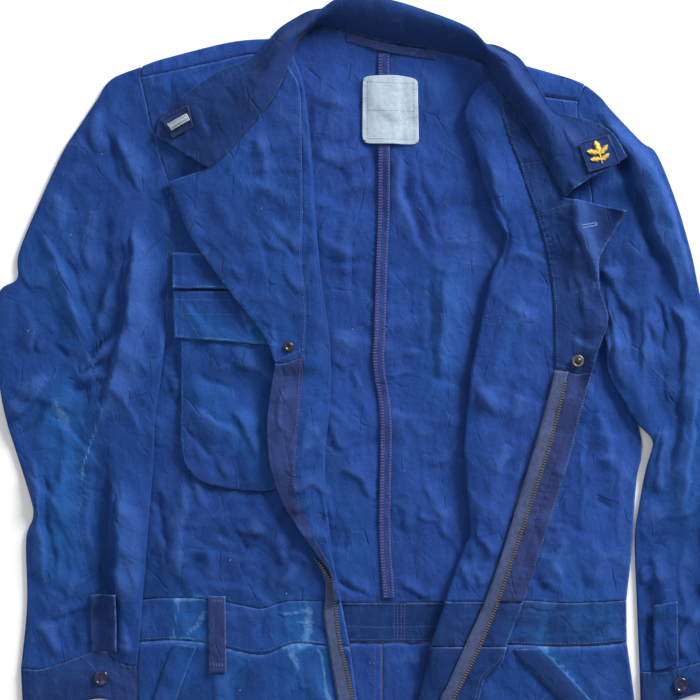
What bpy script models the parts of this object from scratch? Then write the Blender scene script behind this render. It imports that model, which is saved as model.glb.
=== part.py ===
"""A boiler suit laid on its back, unzipped, with both fronts turned outwards.

Plan places are (across, down) in millimetres on a drafting sheet, measured from its top left corner, and
heights are millimetres above the surface that the suit lies on. "Right" and "left" are the wearer's: the
wearer's right lies at low values of across. Each sewn piece is a sheet of middle points made into a wall.
"""

import math

import bmesh
import bpy
import numpy as np

MM = 0.001
ORIGIN = (370.816, 871.246)  # the plan place under the part's origin

PLY = 1.2  # thickness of the cloth
COLLAR_PLY = 2.0  # the collar is two plies and an interlining
SEAM = 0.3  # gap between pieces that are sewn together or lie on each other
LOFT = 2.6  # between the middles of two plies that turn into each other
OPEN_LOFT = 3.6  # the same in the middle of a panel, where air lifts the upper one
COLLAR_GAP = 1.2  # the stand leans over its seam, so it starts this far from it

SHOULDER_STEPS = 6
NECK_STEPS = 7
ARMHOLE_STEPS = 8
SIDE_STEPS = 12
SEAM_STEPS = 5
LAPEL_STEPS = 2
INNER_STEPS = 3
SLEEVE_STEPS = 14
LEG_STEPS = 11

# ---------------------------------------------------------------------------------------------- outlines
# Each row is one place on the outline: (across, down).

RIGHT = {
    "shoulder_fold": [(143, 67), (156, 62), (185, 54), (221, 45), (246, 41), (275, 40), (298, 42)],
    "shoulder_seam": [(141, 78), (181, 70), (222, 61), (252, 55), (293, 57)],
    "armhole": [(141, 78), (147, 105), (150, 121), (162, 162), (170, 188), (170, 226), (168, 262), (166, 335)],
    "side": [(166, 335), (167, 352), (158, 376), (143, 402), (128, 441), (125, 500), (130, 560), (137, 599.7)],
    "waist": [(137, 599.7), (165, 597), (207, 598), (247, 605), (262, 607), (288, 600), (321, 600), (341, 599.7)],
    "roll_above": [(293, 57), (300, 75), (305, 98), (311, 149), (315, 213), (320, 271), (328, 330), (330, 350)],
    "roll_below": [(330, 350), (330, 400), (325, 451), (326, 500), (333, 560), (341, 599.7)],
    "line_above": [(289, 68), (300, 92), (302, 149), (303, 226), (302, 260), (307, 310), (305, 354)],
    "line_below": [(305, 354), (300, 410), (297, 440), (296, 470), (300, 500), (316, 540), (333, 571), (338, 599.7)],
    "edge_above": [(169, 183), (181, 213), (191, 236), (206, 259), (236, 299), (265, 336), (276, 363)],
    "edge_below": [(276, 363), (270, 402), (268, 430), (272, 469), (287, 508), (319, 556), (330, 571), (335, 599.7)],
    "collar_seam": [(289, 68), (280, 88), (270, 105), (257, 121), (238, 143), (222, 160), (209, 170)],
    "lapel_top": [(209, 170), (190, 176), (169, 183)],
    "sleeve_outer": [(143, 67), (112, 80), (98, 100), (80, 127), (65, 150), (45, 192), (20, 252), (18, 279),
                     (0, 293), (-5, 340), (0, 383), (8, 422), (31, 496), (34, 517), (27, 540), (28, 603), (22, 668)],
    "sleeve_inner": [(166, 335), (164, 351), (160, 384), (155, 418), (154, 456), (149, 520), (140, 630), (136, 665)],
    "cuff_seam": [(22, 668), (40, 669), (55, 665), (75, 658), (94, 651), (106, 651), (119, 661), (136, 665)],
    "cuff_edge": [(24, 710), (60, 708), (90, 699), (105, 698), (120, 704), (133, 707)],
    "leg_outer": [(139, 641), (141, 700), (134, 760), (116, 870), (108, 960), (120, 1350), (135, 1740)],
    "leg_inner": [(381.8, 955), (370, 1060), (360, 1350), (358, 1740)],
    "hem": [(135, 1740), (240, 1742), (358, 1740)],
    "band_low": [(139, 641), (175, 639), (207, 642), (249, 652), (268, 652), (294, 642), (326, 644), (350, 645)],
    "fly_line": [(350, 645), (357, 700), (371, 800), (379, 880), (381.8, 955)],
    "welt_slit": [(175, 643), (167, 662), (158, 687), (153, 703), (147, 730), (142, 752)],
    "welt_inner": [(198, 645), (189, 666), (180, 690), (175, 706), (168, 735), (162, 760)],
    "placket": [(92, 594), (118, 592), (118, 650), (92, 650)],
    "button": (102, 677),
}
LEFT = {
    "shoulder_fold": [(584, 85), (568, 79), (540, 71), (515, 65), (488, 66)],
    "shoulder_seam": [(577, 102), (545, 98), (515, 92), (490, 80)],
    "armhole": [(577, 102), (577, 117), (582, 150), (590, 188), (594, 226), (597, 262), (600, 300), (603, 340)],
    "side": [(603, 340), (602, 358), (609, 379), (626, 405), (640, 434), (641, 457), (636, 481), (631, 551),
             (626, 599.7)],
    "waist": [(626, 599.7), (568, 602), (523, 599), (480, 600), (445, 599.7)],
    "roll_above": [(490, 80), (475, 92), (464, 117), (476, 153), (484, 188), (493, 214), (503, 234), (503, 250),
                   (492, 273), (484, 304), (471, 370)],
    "roll_below": [(471, 370), (465, 430), (464, 457), (470, 528), (464, 546), (450, 584), (445, 599.7)],
    "line_above": [(499, 93), (501, 115), (511, 147), (519, 167), (542, 240), (552, 296), (554, 369)],
    "line_below": [(554, 369), (544, 405), (526, 470), (515, 500), (511, 522), (501, 554), (486, 599.7)],
    "edge_above": [(624, 212), (613, 232), (603, 248), (596, 263), (598, 290), (606, 319), (595, 352), (590, 372)],
    "edge_below": [(590, 372), (580, 410), (569, 453), (550, 515), (533, 568), (522, 599.7)],
    "collar_seam": [(499, 93), (512, 107), (522, 125), (534, 143), (544, 161), (553, 179), (563, 200)],
    "lapel_top": [(563, 200), (590, 204), (624, 212)],
    "sleeve_outer": [(584, 85), (600, 98), (610, 110), (640, 142), (656, 155), (675, 202), (690, 253), (698, 290),
                     (712, 350), (728, 420), (742, 500), (747, 560), (740, 620), (730, 656)],
    "sleeve_inner": [(603, 340), (605, 354), (608, 374), (618, 393), (635, 421), (652, 441), (646, 468), (639, 508),
                     (635, 538), (637, 600), (640, 671)],
    "cuff_seam": [(730, 656), (696, 663), (677, 668), (663, 672), (640, 671)],
    "cuff_edge": [(734, 684), (700, 692), (687, 696), (670, 701), (641, 704)],
    "leg_outer": [(626, 641), (634, 700), (650, 850), (655, 950), (640, 1350), (625, 1740)],
    "leg_inner": [(382.2, 955), (394, 1060), (404, 1350), (406, 1740)],
    "hem": [(625, 1740), (520, 1742), (406, 1740)],
    "band_low": [(626, 641), (615, 643), (580, 645), (542, 645), (506, 643), (460, 644), (430, 645)],
    "fly_line": [(444.5, 645), (435.5, 685), (416.5, 760), (395, 850), (385, 892), (382.2, 955)],
    "welt_slit": [(541, 647.5), (561, 667), (592, 701), (615, 729), (633, 752)],
    "welt_inner": [(513, 647.5), (533, 671), (566, 706), (590, 735), (610, 760)],
    "placket": [(652, 604), (676, 600), (677, 665), (653, 670)],
    "button": (680, 684),
}

BACK_NECK = [(298, 42), (310, 31), (322, 26), (345, 31), (383, 42), (437, 50), (470, 58), (488, 66)]
BACK_WAIST = [(137, 599.7), (250, 601), (382, 602), (500, 601), (626, 599.7)]
BACK_BAND_LOW = [(139, 641), (250, 642), (382, 642), (500, 642), (626, 641)]
SEAT_ACROSS, SEAT_GAP = 382.0, 0.3
BAND_DOWN = 0.6  # from the waist seam to the band that is sewn to it

# The collar, from the right notch round the neck to the left one.
COLLAR_ROLL = {
    "right": [(203, 167), (214, 150), (230, 125), (247, 107), (259, 92), (267, 76), (275, 60), (286, 46), (300, 36)],
    "neck": [(300, 36), (312, 26), (324, 14), (337, 4), (365, 1), (395, 6), (424, 15), (452, 25), (473, 36), (486, 54)],
    "left": [(486, 54), (502, 66), (513, 84), (527, 101), (543, 119), (552, 137), (557, 157), (571, 192)],
}
COLLAR_EDGE = {
    "right": [(156, 138), (162, 117), (178, 102), (213, 76), (235, 66), (253, 58), (266, 45), (278, 31), (290, 22)],
    "neck": [(290, 22), (305, 13), (320, 9), (345, 13), (368, 24), (395, 31), (422, 35), (449, 39), (474, 44),
             (494, 45)],
    "left": [(494, 45), (515, 56), (524, 66), (535, 83), (553, 112), (571, 117), (589, 122), (611, 135), (625, 160)],
}
# (share of the way round the span, height of the roll over its seam)
COLLAR_RISE = {
    "right": [(0.0, 1.5), (0.3, 6), (0.6, 11), (0.8, 14), (1.0, 20)],
    "neck": [(0.0, 20), (0.3, 23), (1.0, 21)],
    "left": [(0.0, 21), (0.3, 13), (0.6, 9), (1.0, 1.5)],
}

# ------------------------------------------------------------------------------------------ largest folds
# Each row is one soft ridge: (across, down) of both ends, then how high it rises and half its width.
# across, down, across, down, rise, half_width
BACK_FOLDS = [
    (448, 250, 440, 400, 5.0, 38),
    (412, 150, 436, 250, 3.0, 32),
    (333, 240, 365, 262, 2.0, 30),
    (340, 430, 372, 500, 2.5, 32),
    (420, 500, 440, 560, 2.5, 34),
]
RIGHT_FRONT_FOLDS = [
    (190, 480, 172, 590, 3.5, 30),
    (245, 505, 240, 575, 2.5, 30),
]
LEFT_FRONT_FOLDS = [
    (604, 410, 612, 480, 2.5, 26),
    (585, 470, 570, 560, 2.5, 30),
]
RIGHT_TURNED_FOLDS = [
    (300, 120, 316, 320, 3.5, 30),
    (225, 190, 290, 300, 2.5, 34),
    (290, 400, 300, 500, 3.0, 28),
]
LEFT_TURNED_FOLDS = [
    (568, 190, 594, 290, 6.0, 30),
    (512, 250, 490, 400, 4.0, 36),
    (480, 440, 492, 560, 4.0, 32),
    (480, 120, 505, 220, 5.0, 34),
]
RIGHT_SLEEVE_FOLDS = [
    (128, 200, 120, 350, 6.0, 30),
    (104, 385, 92, 450, 4.0, 28),
    (60, 255, 84, 335, 4.0, 28),
    (10, 425, 55, 372, 4.5, 24),
    (134, 480, 128, 610, 4.5, 26),
    (52, 480, 58, 600, 3.0, 30),
    (108, 120, 136, 180, 3.5, 26),
]
LEFT_SLEEVE_FOLDS = [
    (622, 128, 668, 210, 5.0, 28),
    (668, 210, 688, 285, 5.0, 28),
    (640, 250, 640, 400, 5.0, 30),
    (694, 350, 684, 510, 5.0, 30),
    (660, 560, 664, 640, 3.5, 26),
    (712, 450, 716, 560, 3.0, 28),
]
LEG_FOLDS = [
    (150, 760, 330, 880, 4.0, 44),
    (300, 900, 200, 1010, 3.5, 42),
    (180, 1150, 300, 1190, 4.0, 44),
    (215, 1230, 240, 1500, 3.5, 40),
    (170, 1560, 300, 1610, 3.0, 40),
    (620, 780, 450, 900, 4.0, 44),
    (470, 930, 560, 1040, 3.5, 42),
    (590, 1130, 460, 1180, 4.0, 44),
    (545, 1250, 520, 1520, 3.5, 40),
    (600, 1580, 470, 1640, 3.0, 40),
]

# ---------------------------------------------------------------------------------------- small pieces
CENTRE_STRIP = [(378, 54), (378, 200), (376, 260), (374, 330), (373, 366), (380, 420), (379, 530), (383, 598)]
CENTRE_STRIP_WIDE = 11.5
LABEL = [(363, 76), (418, 78), (419, 145), (362, 143)]
LOOP_TOP = [(347, 33.2), (370, 40.2), (400, 46.6), (436, 51.8)]
LOOP_WIDE = 8.0
POCKET_TOP = [(182, 303), (240, 303), (299, 304)]
POCKET_SIDE_LOW = 440
POCKET_FOOT = [(182, 440), (186, 462), (196, 476), (209, 483), (240, 489), (272, 489), (289, 478), (298, 458),
               (299, 440)]
FLAP = [(174, 291), (299, 292), (300, 347), (175, 338)]
NAME_TAPE = [(173, 253), (299, 254), (299, 288), (173, 287)]
BELT_LOOP = [(209, 595), (226, 595), (227, 671), (210, 671)]
RIGHT_PATCH = [(163, 121), (189, 107), (194, 128), (174, 139)]
BAR = [(169, 126), (188, 116), (191, 122), (173, 132)]
LEFT_PATCH = [(577, 146), (606, 137), (616, 165), (586, 174)]
LEAF_CENTRE, LEAF_LONG, LEAF_TURN = (596.5, 155.5), 13.0, -15
SNAP_SOCKET, SNAP_STUD, SNAP_ACROSS = (289, 347), (576, 361), 12.0

RIGHT_TEETH = [(314, 556), (323, 567), (331, 580), (335, 597), (337, 620), (341, 646), (346, 665), (353, 700), (366, 780),
               (377, 850), (381.5, 879)]
RIGHT_TAPE_EDGE = [(300, 559), (310, 570), (317, 582), (321, 597), (324, 615), (328, 640), (332, 666), (338, 700), (352, 780),
                   (363, 850), (368, 879)]
LEFT_TEETH = [(564, 381), (552, 430), (540, 470), (524, 519), (511, 557), (496, 602), (479, 644), (459, 685),
              (452, 700), (429, 780), (400, 848), (386, 879)]
LEFT_TAPE_EDGE = [(551, 381), (538, 430), (526, 470), (511, 519), (499, 557), (483, 602), (464, 644), (446, 685),
                  (439, 700), (416, 780), (387, 848), (373, 879)]
FLY_ROLL = [(430, 645), (421, 685), (402, 760), (380, 850)]
FLY_EDGE = [(506, 645), (500, 662), (485, 675), (477, 700), (447, 780), (412, 850)]
FLY_LIP = 12.0

BUTTON_ACROSS, BUTTON_THICK, BUTTON_HOLE, BUTTON_PITCH = 15.2, 2.6, 1.8, 2.0
SLIDER_AT = (383, 881)
SLIDER_LONG, SLIDER_WIDE, SLIDER_THICK = 17.0, 11.0, 3.0
PIN_RADIUS, PIN_LONG, LUG_THICK = 0.9, 6.4, 1.2
EYE_GAP = 0.4
TAB_LONG, TAB_WIDE, TAB_THICK = 26.0, 7.0, 1.3
TAB_DROOP = 17.0  # degrees below level, so that the tab's end lies on the cloth


# ---------------------------------------------------------------------------------------- plan geometry
def smooth_line(points, per_span=12):
    """Many points on a smooth curve through the given ones."""
    given = np.array(points, float)
    ends = [2 * given[0] - given[1]], [2 * given[-1] - given[-2]]
    padded = np.vstack([ends[0], given, ends[1]])
    t = np.linspace(0, 1, per_span, endpoint=False)[:, None]
    spans = [
        0.5 * (2 * b + (c - a) * t + (2 * a - 5 * b + 4 * c - d) * t**2 + (3 * b - a - 3 * c + d) * t**3)
        for a, b, c, d in zip(padded, padded[1:], padded[2:], padded[3:])
    ]
    return np.vstack([*spans, given[-1:]])


def spaced(points, steps):
    """steps + 1 points, evenly spaced along the smooth curve through the given ones."""
    line = smooth_line(points)
    run = np.concatenate([[0], np.cumsum(np.linalg.norm(np.diff(line, axis=0), axis=1))])
    at = np.linspace(0, run[-1], steps + 1)
    return np.column_stack([np.interp(at, run, line[:, k]) for k in range(line.shape[1])])


def joined(*lines):
    return np.vstack([lines[0], *[line[1:] for line in lines[1:]]])


def patch(top, bottom, first, last, fade=1):
    """A grid of plan places between four outlines that meet at their ends.

    The rows start with the top's bend and end with the bottom's. A higher fade makes both die out sooner.
    """
    u = np.linspace(0, 1, len(top))[None, :, None]
    v = np.linspace(0, 1, len(first))[:, None, None]
    ruled = (1 - u) * first[:, None] + u * last[:, None]
    top_bend = top[None] - (1 - u) * top[0] - u * top[-1]
    bottom_bend = bottom[None] - (1 - u) * bottom[0] - u * bottom[-1]
    return ruled + (1 - v) ** fade * top_bend + v**fade * bottom_bend


def between(first, last, steps):
    """A grid with rows that run from each point of one line to the same point of the other."""
    share = np.linspace(0, 1, steps + 1)[None, :, None]
    return first[:, None] * (1 - share) + last[:, None] * share


def four_sided(corners, columns, rows):
    a, b, c, d = (np.array(corner, float) for corner in corners)
    return patch(spaced([a, b], columns), spaced([d, c], columns), spaced([a, d], rows), spaced([b, c], rows))


def ease(share):
    share = np.clip(share, 0, 1)
    return share * share * (3 - 2 * share)


def ridges(plan, folds):
    """The height that soft folds add at each plan place. A fold is highest in the middle of its length."""
    height = np.zeros(plan.shape[:-1])
    for across1, down1, across2, down2, rise, half_width in folds:
        start = np.array([across1, down1], float)
        run = np.array([across2, down2], float) - start
        along = np.clip(((plan - start) @ run) / (run @ run), 0, 1)
        off = np.linalg.norm(plan - start - along[..., None] * run, axis=-1)
        bell = 0.5 * (1 + np.cos(np.pi * np.minimum(off / half_width, 1)))
        height += rise * bell * (0.55 + 0.45 * np.sin(np.pi * along))
    return height


def with_height(plan, height):
    return np.concatenate([plan, np.broadcast_to(height, plan.shape[:-1])[..., None]], axis=-1)


class Pile:
    """How high the cloth lies already, on a square grid over the drafting sheet."""

    CELL = 4.0
    EDGE = 60.0

    def __init__(self):
        self.top = np.zeros((int(1900 / self.CELL), int(880 / self.CELL)))

    def cells(self, plan):
        column = np.rint((plan[..., 0] + self.EDGE) / self.CELL).astype(int)
        row = np.rint((plan[..., 1] + self.EDGE) / self.CELL).astype(int)
        return row, column

    def add(self, *grids, thickness=PLY):
        t = np.linspace(0, 1, 9)
        for grid in grids:
            for u in t:
                for v in t:
                    between_rows = grid[:-1] * (1 - v) + grid[1:] * v
                    points = between_rows[:, :-1] * (1 - u) + between_rows[:, 1:] * u
                    row, column = self.cells(points)
                    np.maximum.at(self.top, (row, column), points[..., 2] + thickness / 2)

    def rest(self, plan, reach, soften=6.0):
        """The height that clears all that lies within reach of each plan place, evened out."""
        wide = int(math.ceil((reach + soften) / self.CELL))
        soft = int(math.ceil(soften / self.CELL))
        field = self.top
        for axis in (0, 1):
            field = np.max([np.roll(field, shift, axis) for shift in range(-wide, wide + 1)], axis=0)
        for axis in (0, 1):
            field = np.mean([np.roll(field, shift, axis) for shift in range(-soft, soft + 1)], axis=0)
        return field[self.cells(plan)]

    def laid(self, plan, reach, gap=SEAM, thickness=PLY):
        """The grid with the middle of its ply resting on what lies there."""
        return with_height(plan, self.rest(plan, reach) + gap + thickness / 2)


# -------------------------------------------------------------------------------------- making objects
def material(name, colour, roughness, metallic=0.0):
    made = bpy.data.materials.new(name)
    made.use_nodes = True
    shader = made.node_tree.nodes["Principled BSDF"]
    shader.inputs["Base Color"].default_value = (*colour, 1)
    shader.inputs["Roughness"].default_value = roughness
    shader.inputs["Metallic"].default_value = metallic
    return made


FINISHES = {
    "cloth": ((0.024, 0.065, 0.30), 0.85, 0.0),
    "faced": ((0.028, 0.042, 0.17), 0.85, 0.0),
    "tape": ((0.062, 0.09, 0.23), 0.8, 0.0),
    "label": ((0.60, 0.66, 0.72), 0.8, 0.0),
    "gold": ((0.78, 0.50, 0.05), 0.6, 0.0),
    "silver": ((0.30, 0.38, 0.48), 0.6, 0.0),
    "button": ((0.01, 0.01, 0.05), 0.25, 0.0),
    "brass": ((0.35, 0.24, 0.09), 0.4, 0.9),
    "snap": ((0.05, 0.05, 0.06), 0.35, 0.8),
}


def in_metres(points):
    """Row places of (across, down, height) points."""
    points = np.asarray(points, float)
    return np.stack([points[..., 0] - ORIGIN[0], ORIGIN[1] - points[..., 1], points[..., 2]], axis=-1) * MM


def add_object(name, shape, finish, smooth=True):
    mesh = bpy.data.meshes.new(name)
    bmesh.ops.recalc_face_normals(shape, faces=shape.faces)
    shape.to_mesh(mesh)
    shape.free()
    if smooth:
        mesh.shade_smooth()
    made = bpy.data.objects.new(name, mesh)
    mesh.materials.append(material(name, *FINISHES[finish]))
    bpy.context.scene.collection.objects.link(made)
    return made


def sheet_mesh(grids):
    """One mesh of the grids, joined wherever they share points."""
    shape = bmesh.new()
    for grid in grids:
        rows = [[shape.verts.new(place) for place in row] for row in in_metres(grid)]
        for row, after in zip(rows, rows[1:]):
            for k in range(len(row) - 1):
                shape.faces.new((row[k], row[k + 1], after[k + 1], after[k]))
    bmesh.ops.remove_doubles(shape, verts=shape.verts, dist=1e-6)
    return shape


def sew(name, grids, finish="cloth", thickness=PLY):
    """One sewn piece: a wall of even thickness about its grids of middle points."""
    made = add_object(name, sheet_mesh(grids), finish)
    wall = made.modifiers.new("Wall", "SOLIDIFY")
    wall.thickness = thickness * MM
    wall.offset = 0
    return made


def bend(lower_edge, lower_next, upper_edge):
    """The rows of a turn from one sheet's edge to the edge above it, and how far both edges draw back."""
    away = lower_edge[:, :2] - lower_next[:, :2]
    away /= np.linalg.norm(away, axis=1)[:, None]
    radius = (upper_edge[:, 2] - lower_edge[:, 2])[:, None] / 2
    back = -away * radius
    outermost = np.column_stack([lower_edge[:, :2], lower_edge[:, 2:] + radius])
    return back, outermost


def turned_sheet(lower, upper):
    """A sheet whose last column turns up and back as the first column of the upper sheet."""
    back, outermost = bend(lower[:, -1], lower[:, -2], upper[:, 0])
    lower, upper = lower.copy(), upper.copy()
    lower[:, -1, :2] += back
    upper[:, 0, :2] += back
    return np.concatenate([lower, outermost[:, None], upper], axis=1)


def box(shape, centre, size):
    """Adds a box to the shape, given in (across, down, height) millimetres."""
    made = bmesh.ops.create_cube(shape, size=1)["verts"]
    middle = in_metres(centre)
    for vert in made:
        vert.co = [middle[k] + vert.co[k] * size[k] * MM for k in range(3)]


def plate(name, outline, height, thickness, finish):
    """A flat plate of the plan outline, its underside at the height."""
    shape = bmesh.new()
    ring = [shape.verts.new(in_metres((across, down, height))) for across, down in outline]
    face = shape.faces.new(ring)
    raised = bmesh.ops.extrude_face_region(shape, geom=[face])["geom"]
    for vert in (item for item in raised if isinstance(item, bmesh.types.BMVert)):
        vert.co.z += thickness * MM
    return add_object(name, shape, finish, smooth=False)


def circle(centre, radius, sides, turn=0.0):
    angles = [2 * math.pi * k / sides + turn for k in range(sides)]
    return [(centre[0] + radius * math.cos(a), centre[1] + radius * math.sin(a)) for a in angles]


def cut(made, cutter):
    cutter.hide_render = True
    cutter.display_type = "WIRE"
    hole = made.modifiers.new("Cut", "BOOLEAN")
    hole.operation = "DIFFERENCE"
    hole.object = cutter


# ---------------------------------------------------------------------------------------- the big pieces
def back_height(plan):
    return PLY / 2 + ridges(plan, BACK_FOLDS)


def loft_rows(armhole_rows, rows):
    """How far the front lies over the back at its outer edge: open at the armhole, closed at the side seam."""
    row = np.arange(rows + 1)
    return LOFT + (PLY + SEAM - LOFT) * ease((row - armhole_rows - 1) / 3)


def front_height(plan, edge_loft, folds):
    away = np.linalg.norm(plan - plan[:, :1], axis=-1)
    open_share = ease(away / 34)
    loft = edge_loft[:, None] + (OPEN_LOFT - edge_loft[:, None]) * open_share
    return back_height(plan) + loft + ridges(plan, folds) * open_share


def front_lower(cut_lines, folds):
    """The front as far as its roll line, outer side up: rows go down, columns go from the side to the roll."""
    first = joined(spaced(cut_lines["armhole"], ARMHOLE_STEPS), spaced(cut_lines["side"], SIDE_STEPS))
    plan = patch(
        spaced(cut_lines["shoulder_seam"], SHOULDER_STEPS),
        spaced(cut_lines["waist"], SHOULDER_STEPS),
        first,
        roll_line(cut_lines),
    )
    return with_height(plan, front_height(plan, loft_rows(ARMHOLE_STEPS, len(first) - 1), folds))


ROWS_ABOVE = 10
ROWS_BELOW = ARMHOLE_STEPS + SIDE_STEPS - ROWS_ABOVE


def roll_line(cut_lines):
    return joined(spaced(cut_lines["roll_above"], ROWS_ABOVE), spaced(cut_lines["roll_below"], ROWS_BELOW))


def front_turned(cut_lines, folds, pile):
    """The turned part, inner side up, from the roll to the facing's line and from there to the free edge."""
    roll = roll_line(cut_lines)
    line = joined(spaced(cut_lines["line_above"], ROWS_ABOVE), spaced(cut_lines["line_below"], ROWS_BELOW))
    edge = joined(spaced(cut_lines["edge_above"], ROWS_ABOVE), spaced(cut_lines["edge_below"], ROWS_BELOW))
    lapel = joined(spaced(cut_lines["collar_seam"], SEAM_STEPS), spaced(cut_lines["lapel_top"], LAPEL_STEPS))
    inner = patch(spaced([roll[0], line[0]], INNER_STEPS), spaced([roll[-1], line[-1]], INNER_STEPS), roll, line)
    steps = SEAM_STEPS + LAPEL_STEPS
    outer = patch(lapel, spaced([line[-1], edge[-1]], steps), line, edge, fade=3)
    plan = np.concatenate([inner, outer[:, 1:]], axis=1)
    height = pile.rest(plan, 20) + LOFT - PLY / 2 + ridges(plan, folds)
    return with_height(plan, height)


def shoulder_wrap(cut_lines, seam_row):
    """The back's shoulder, from its fold over to the seam: floor row, fold row, upper row and seam row."""
    fold = spaced(cut_lines["shoulder_fold"], SHOULDER_STEPS)
    floor = with_height(fold, back_height(fold))
    upper = with_height(fold, seam_row[:, 2])
    back, outermost = bend(floor, with_height(seam_row[:, :2], floor[:, 2]), upper)
    floor[:, :2] += back
    upper[:, :2] += back
    seam = seam_row.copy()
    seam[:, 1] -= SEAM
    return np.stack([floor, outermost, upper, seam])


def back_main(floor_right, floor_left):
    """The back on the surface, inner side up: rows go down, columns go from the right to the left."""
    first = np.vstack([floor_right[:1, :2], side_line(RIGHT)])
    last = np.vstack([floor_left[:1, :2], side_line(LEFT)])
    top = joined(
        floor_right[:, :2],
        np.vstack([floor_right[-1:, :2], spaced(BACK_NECK, NECK_STEPS)[1:-1], floor_left[-1:, :2]]),
        floor_left[::-1, :2],
    )
    bottom = spaced(BACK_WAIST, len(top) - 1)
    plan = patch(top, bottom, first, last)
    return with_height(plan, back_height(plan))


def side_line(cut_lines):
    return joined(spaced(cut_lines["armhole"], ARMHOLE_STEPS), spaced(cut_lines["side"], SIDE_STEPS))


def sleeve_lift(plan, cut_lines, inward, fade):
    """How far the sleeve is raised where it lies over the body's side."""
    side = np.array(cut_lines["side"], float)
    edge = np.interp(plan[..., 1], side[:, 1], side[:, 0])
    over = (plan[..., 0] - edge) * inward + 34
    start = ease((plan[..., 1] - side[0, 1] + 22) / 30)
    end = 1 - ease((plan[..., 1] - fade) / 40)
    return 5.8 * ease(over / 24) * start * end


def sleeve_sheets(cut_lines, wrap, lower_front, folds, inward, fade):
    """(upper, under) sheets of the sleeve: rows go to the cuff, columns from the outer fold to the inner one."""
    armhole = np.vstack([wrap[2, :1], lower_front[: ARMHOLE_STEPS + 1, 0]])
    armhole[:, 0] -= inward * SEAM * 2
    steps = len(armhole) - 1
    plan = patch(
        armhole[:, :2],
        spaced(cut_lines["cuff_seam"], steps),
        np.vstack([armhole[:1, :2], spaced(cut_lines["sleeve_outer"], SLEEVE_STEPS)[1:]]),
        np.vstack([armhole[-1:, :2], spaced(cut_lines["sleeve_inner"], SLEEVE_STEPS)[1:]]),
    )
    row = np.arange(SLEEVE_STEPS + 1)[:, None]
    column = np.arange(steps + 1)[None]
    under = with_height(plan, PLY / 2 + sleeve_lift(plan, cut_lines, inward, fade) * np.minimum(row, 1))
    bulge = 1.6 * np.sin(np.pi * column / steps) * np.minimum(row / 3, 1) * np.minimum((SLEEVE_STEPS - row) / 3, 1)
    share = np.minimum(row / 2, 1) * np.minimum((SLEEVE_STEPS - row) / 2, 1)
    upper = under.copy()
    upper[..., 2] += LOFT + bulge + ridges(plan, folds) * share
    upper[0, :, 2] = armhole[:, 2]
    under[0, :, 2] = back_height(plan[0])
    return upper, under


def tube(upper, under):
    """A closed ring for each row: the upper sheet, the inner turn, the under sheet back, the outer turn."""
    back_in, inner = bend(under[:, -1], under[:, -2], upper[:, -1])
    back_out, outer = bend(under[:, 0], under[:, 1], upper[:, 0])
    upper, under = upper.copy(), under.copy()
    for sheet in (upper, under):
        sheet[:, -1, :2] += back_in
        sheet[:, 0, :2] += back_out
    return np.concatenate([upper, inner[:, None], under[:, ::-1], outer[:, None], upper[:, :1]], axis=1)


def cuff_ring(upper, under, cut_lines, thickness):
    """The cuff goes on from the sleeve's last row to its own edge."""
    steps = upper.shape[1] - 1
    edge = spaced(cut_lines["cuff_edge"], steps)
    start = upper[-1, :, :2] + (edge - upper[-1, :, :2]) * 0.02
    plan = between(start, edge, 3).transpose(1, 0, 2)
    low = with_height(plan, thickness / 2)
    high = low.copy()
    high[..., 2] += LOFT + 0.4
    return high, low


def collar_rows(right_front, left_front, wrap_right, wrap_left, neck, pile):
    """The collar's sections from the right notch to the left one, each from the seam over the roll to the edge."""

    def halves(line):
        middle = (line[1:] + line[:-1]) / 2
        both = np.empty((len(line) * 2 - 1, line.shape[1]))
        both[::2] = line
        both[1::2] = middle
        return both

    seams = {
        "right": np.vstack([halves(right_front[::-1]), wrap_right[3, -1:], wrap_right[2, -1:]]),
        "neck": neck,
        "left": np.vstack([wrap_left[2, -1:], wrap_left[3, -1:], halves(left_front)]),
    }
    sections = []
    for span in ("right", "neck", "left"):
        seam = seams[span]
        steps = len(seam) - 1
        roll = spaced(COLLAR_ROLL[span], steps)
        edge = spaced(COLLAR_EDGE[span], steps)
        share = np.linspace(0, 1, steps + 1)
        rise = np.interp(share, *np.array(COLLAR_RISE[span]).T)
        away = roll - seam[:, :2]
        away /= np.linalg.norm(away, axis=1)[:, None]
        start = seam.copy()
        start[:, :2] += away * COLLAR_GAP
        start[:, 2] = np.maximum(start[:, 2], pile.rest(start[:, :2], 2, 2) + SEAM + COLLAR_PLY / 2)
        top = np.column_stack([roll, start[:, 2] + rise])
        rows = np.stack([start, top, np.column_stack([edge, np.zeros(len(edge))])], axis=1)
        sections.append(rows if span == "right" else rows[1:])
    return np.concatenate(sections)


def collar_grid(sections, pile):
    """Each section as a smooth curve: up the stand, round the roll and down the fall."""
    seam, roll, edge = sections[:, 0], sections[:, 1], sections[:, 2]
    low = pile.rest(edge[:, :2], 16) + SEAM * 2 + COLLAR_PLY / 2
    height = roll[:, 2]
    columns = []
    for share in (0.0, 0.33, 0.68):
        point = seam * (1 - share) + roll * share
        point[:, 2] = seam[:, 2] + (height - seam[:, 2]) * math.sin(share * math.pi / 2)
        columns.append(point)
    columns.append(roll.copy())
    for share in (0.12, 0.3, 0.55, 0.78, 1.0):
        plan = roll[:, :2] * (1 - share) + edge[:, :2] * share
        beyond = (roll[:, :2] - seam[:, :2]) * 0.10 * math.sin(math.pi * min(share * 1.6, 1))
        tall = ease((height - 16) / 6)[:, None]
        plan = plan + beyond * tall
        clear = pile.rest(plan, 16) + SEAM * 2 + COLLAR_PLY / 2
        drop = (1 - share) ** 2.2
        columns.append(with_height(plan, np.maximum(clear, low + (height - low) * drop)))
    return np.stack(columns, axis=1)


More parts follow.
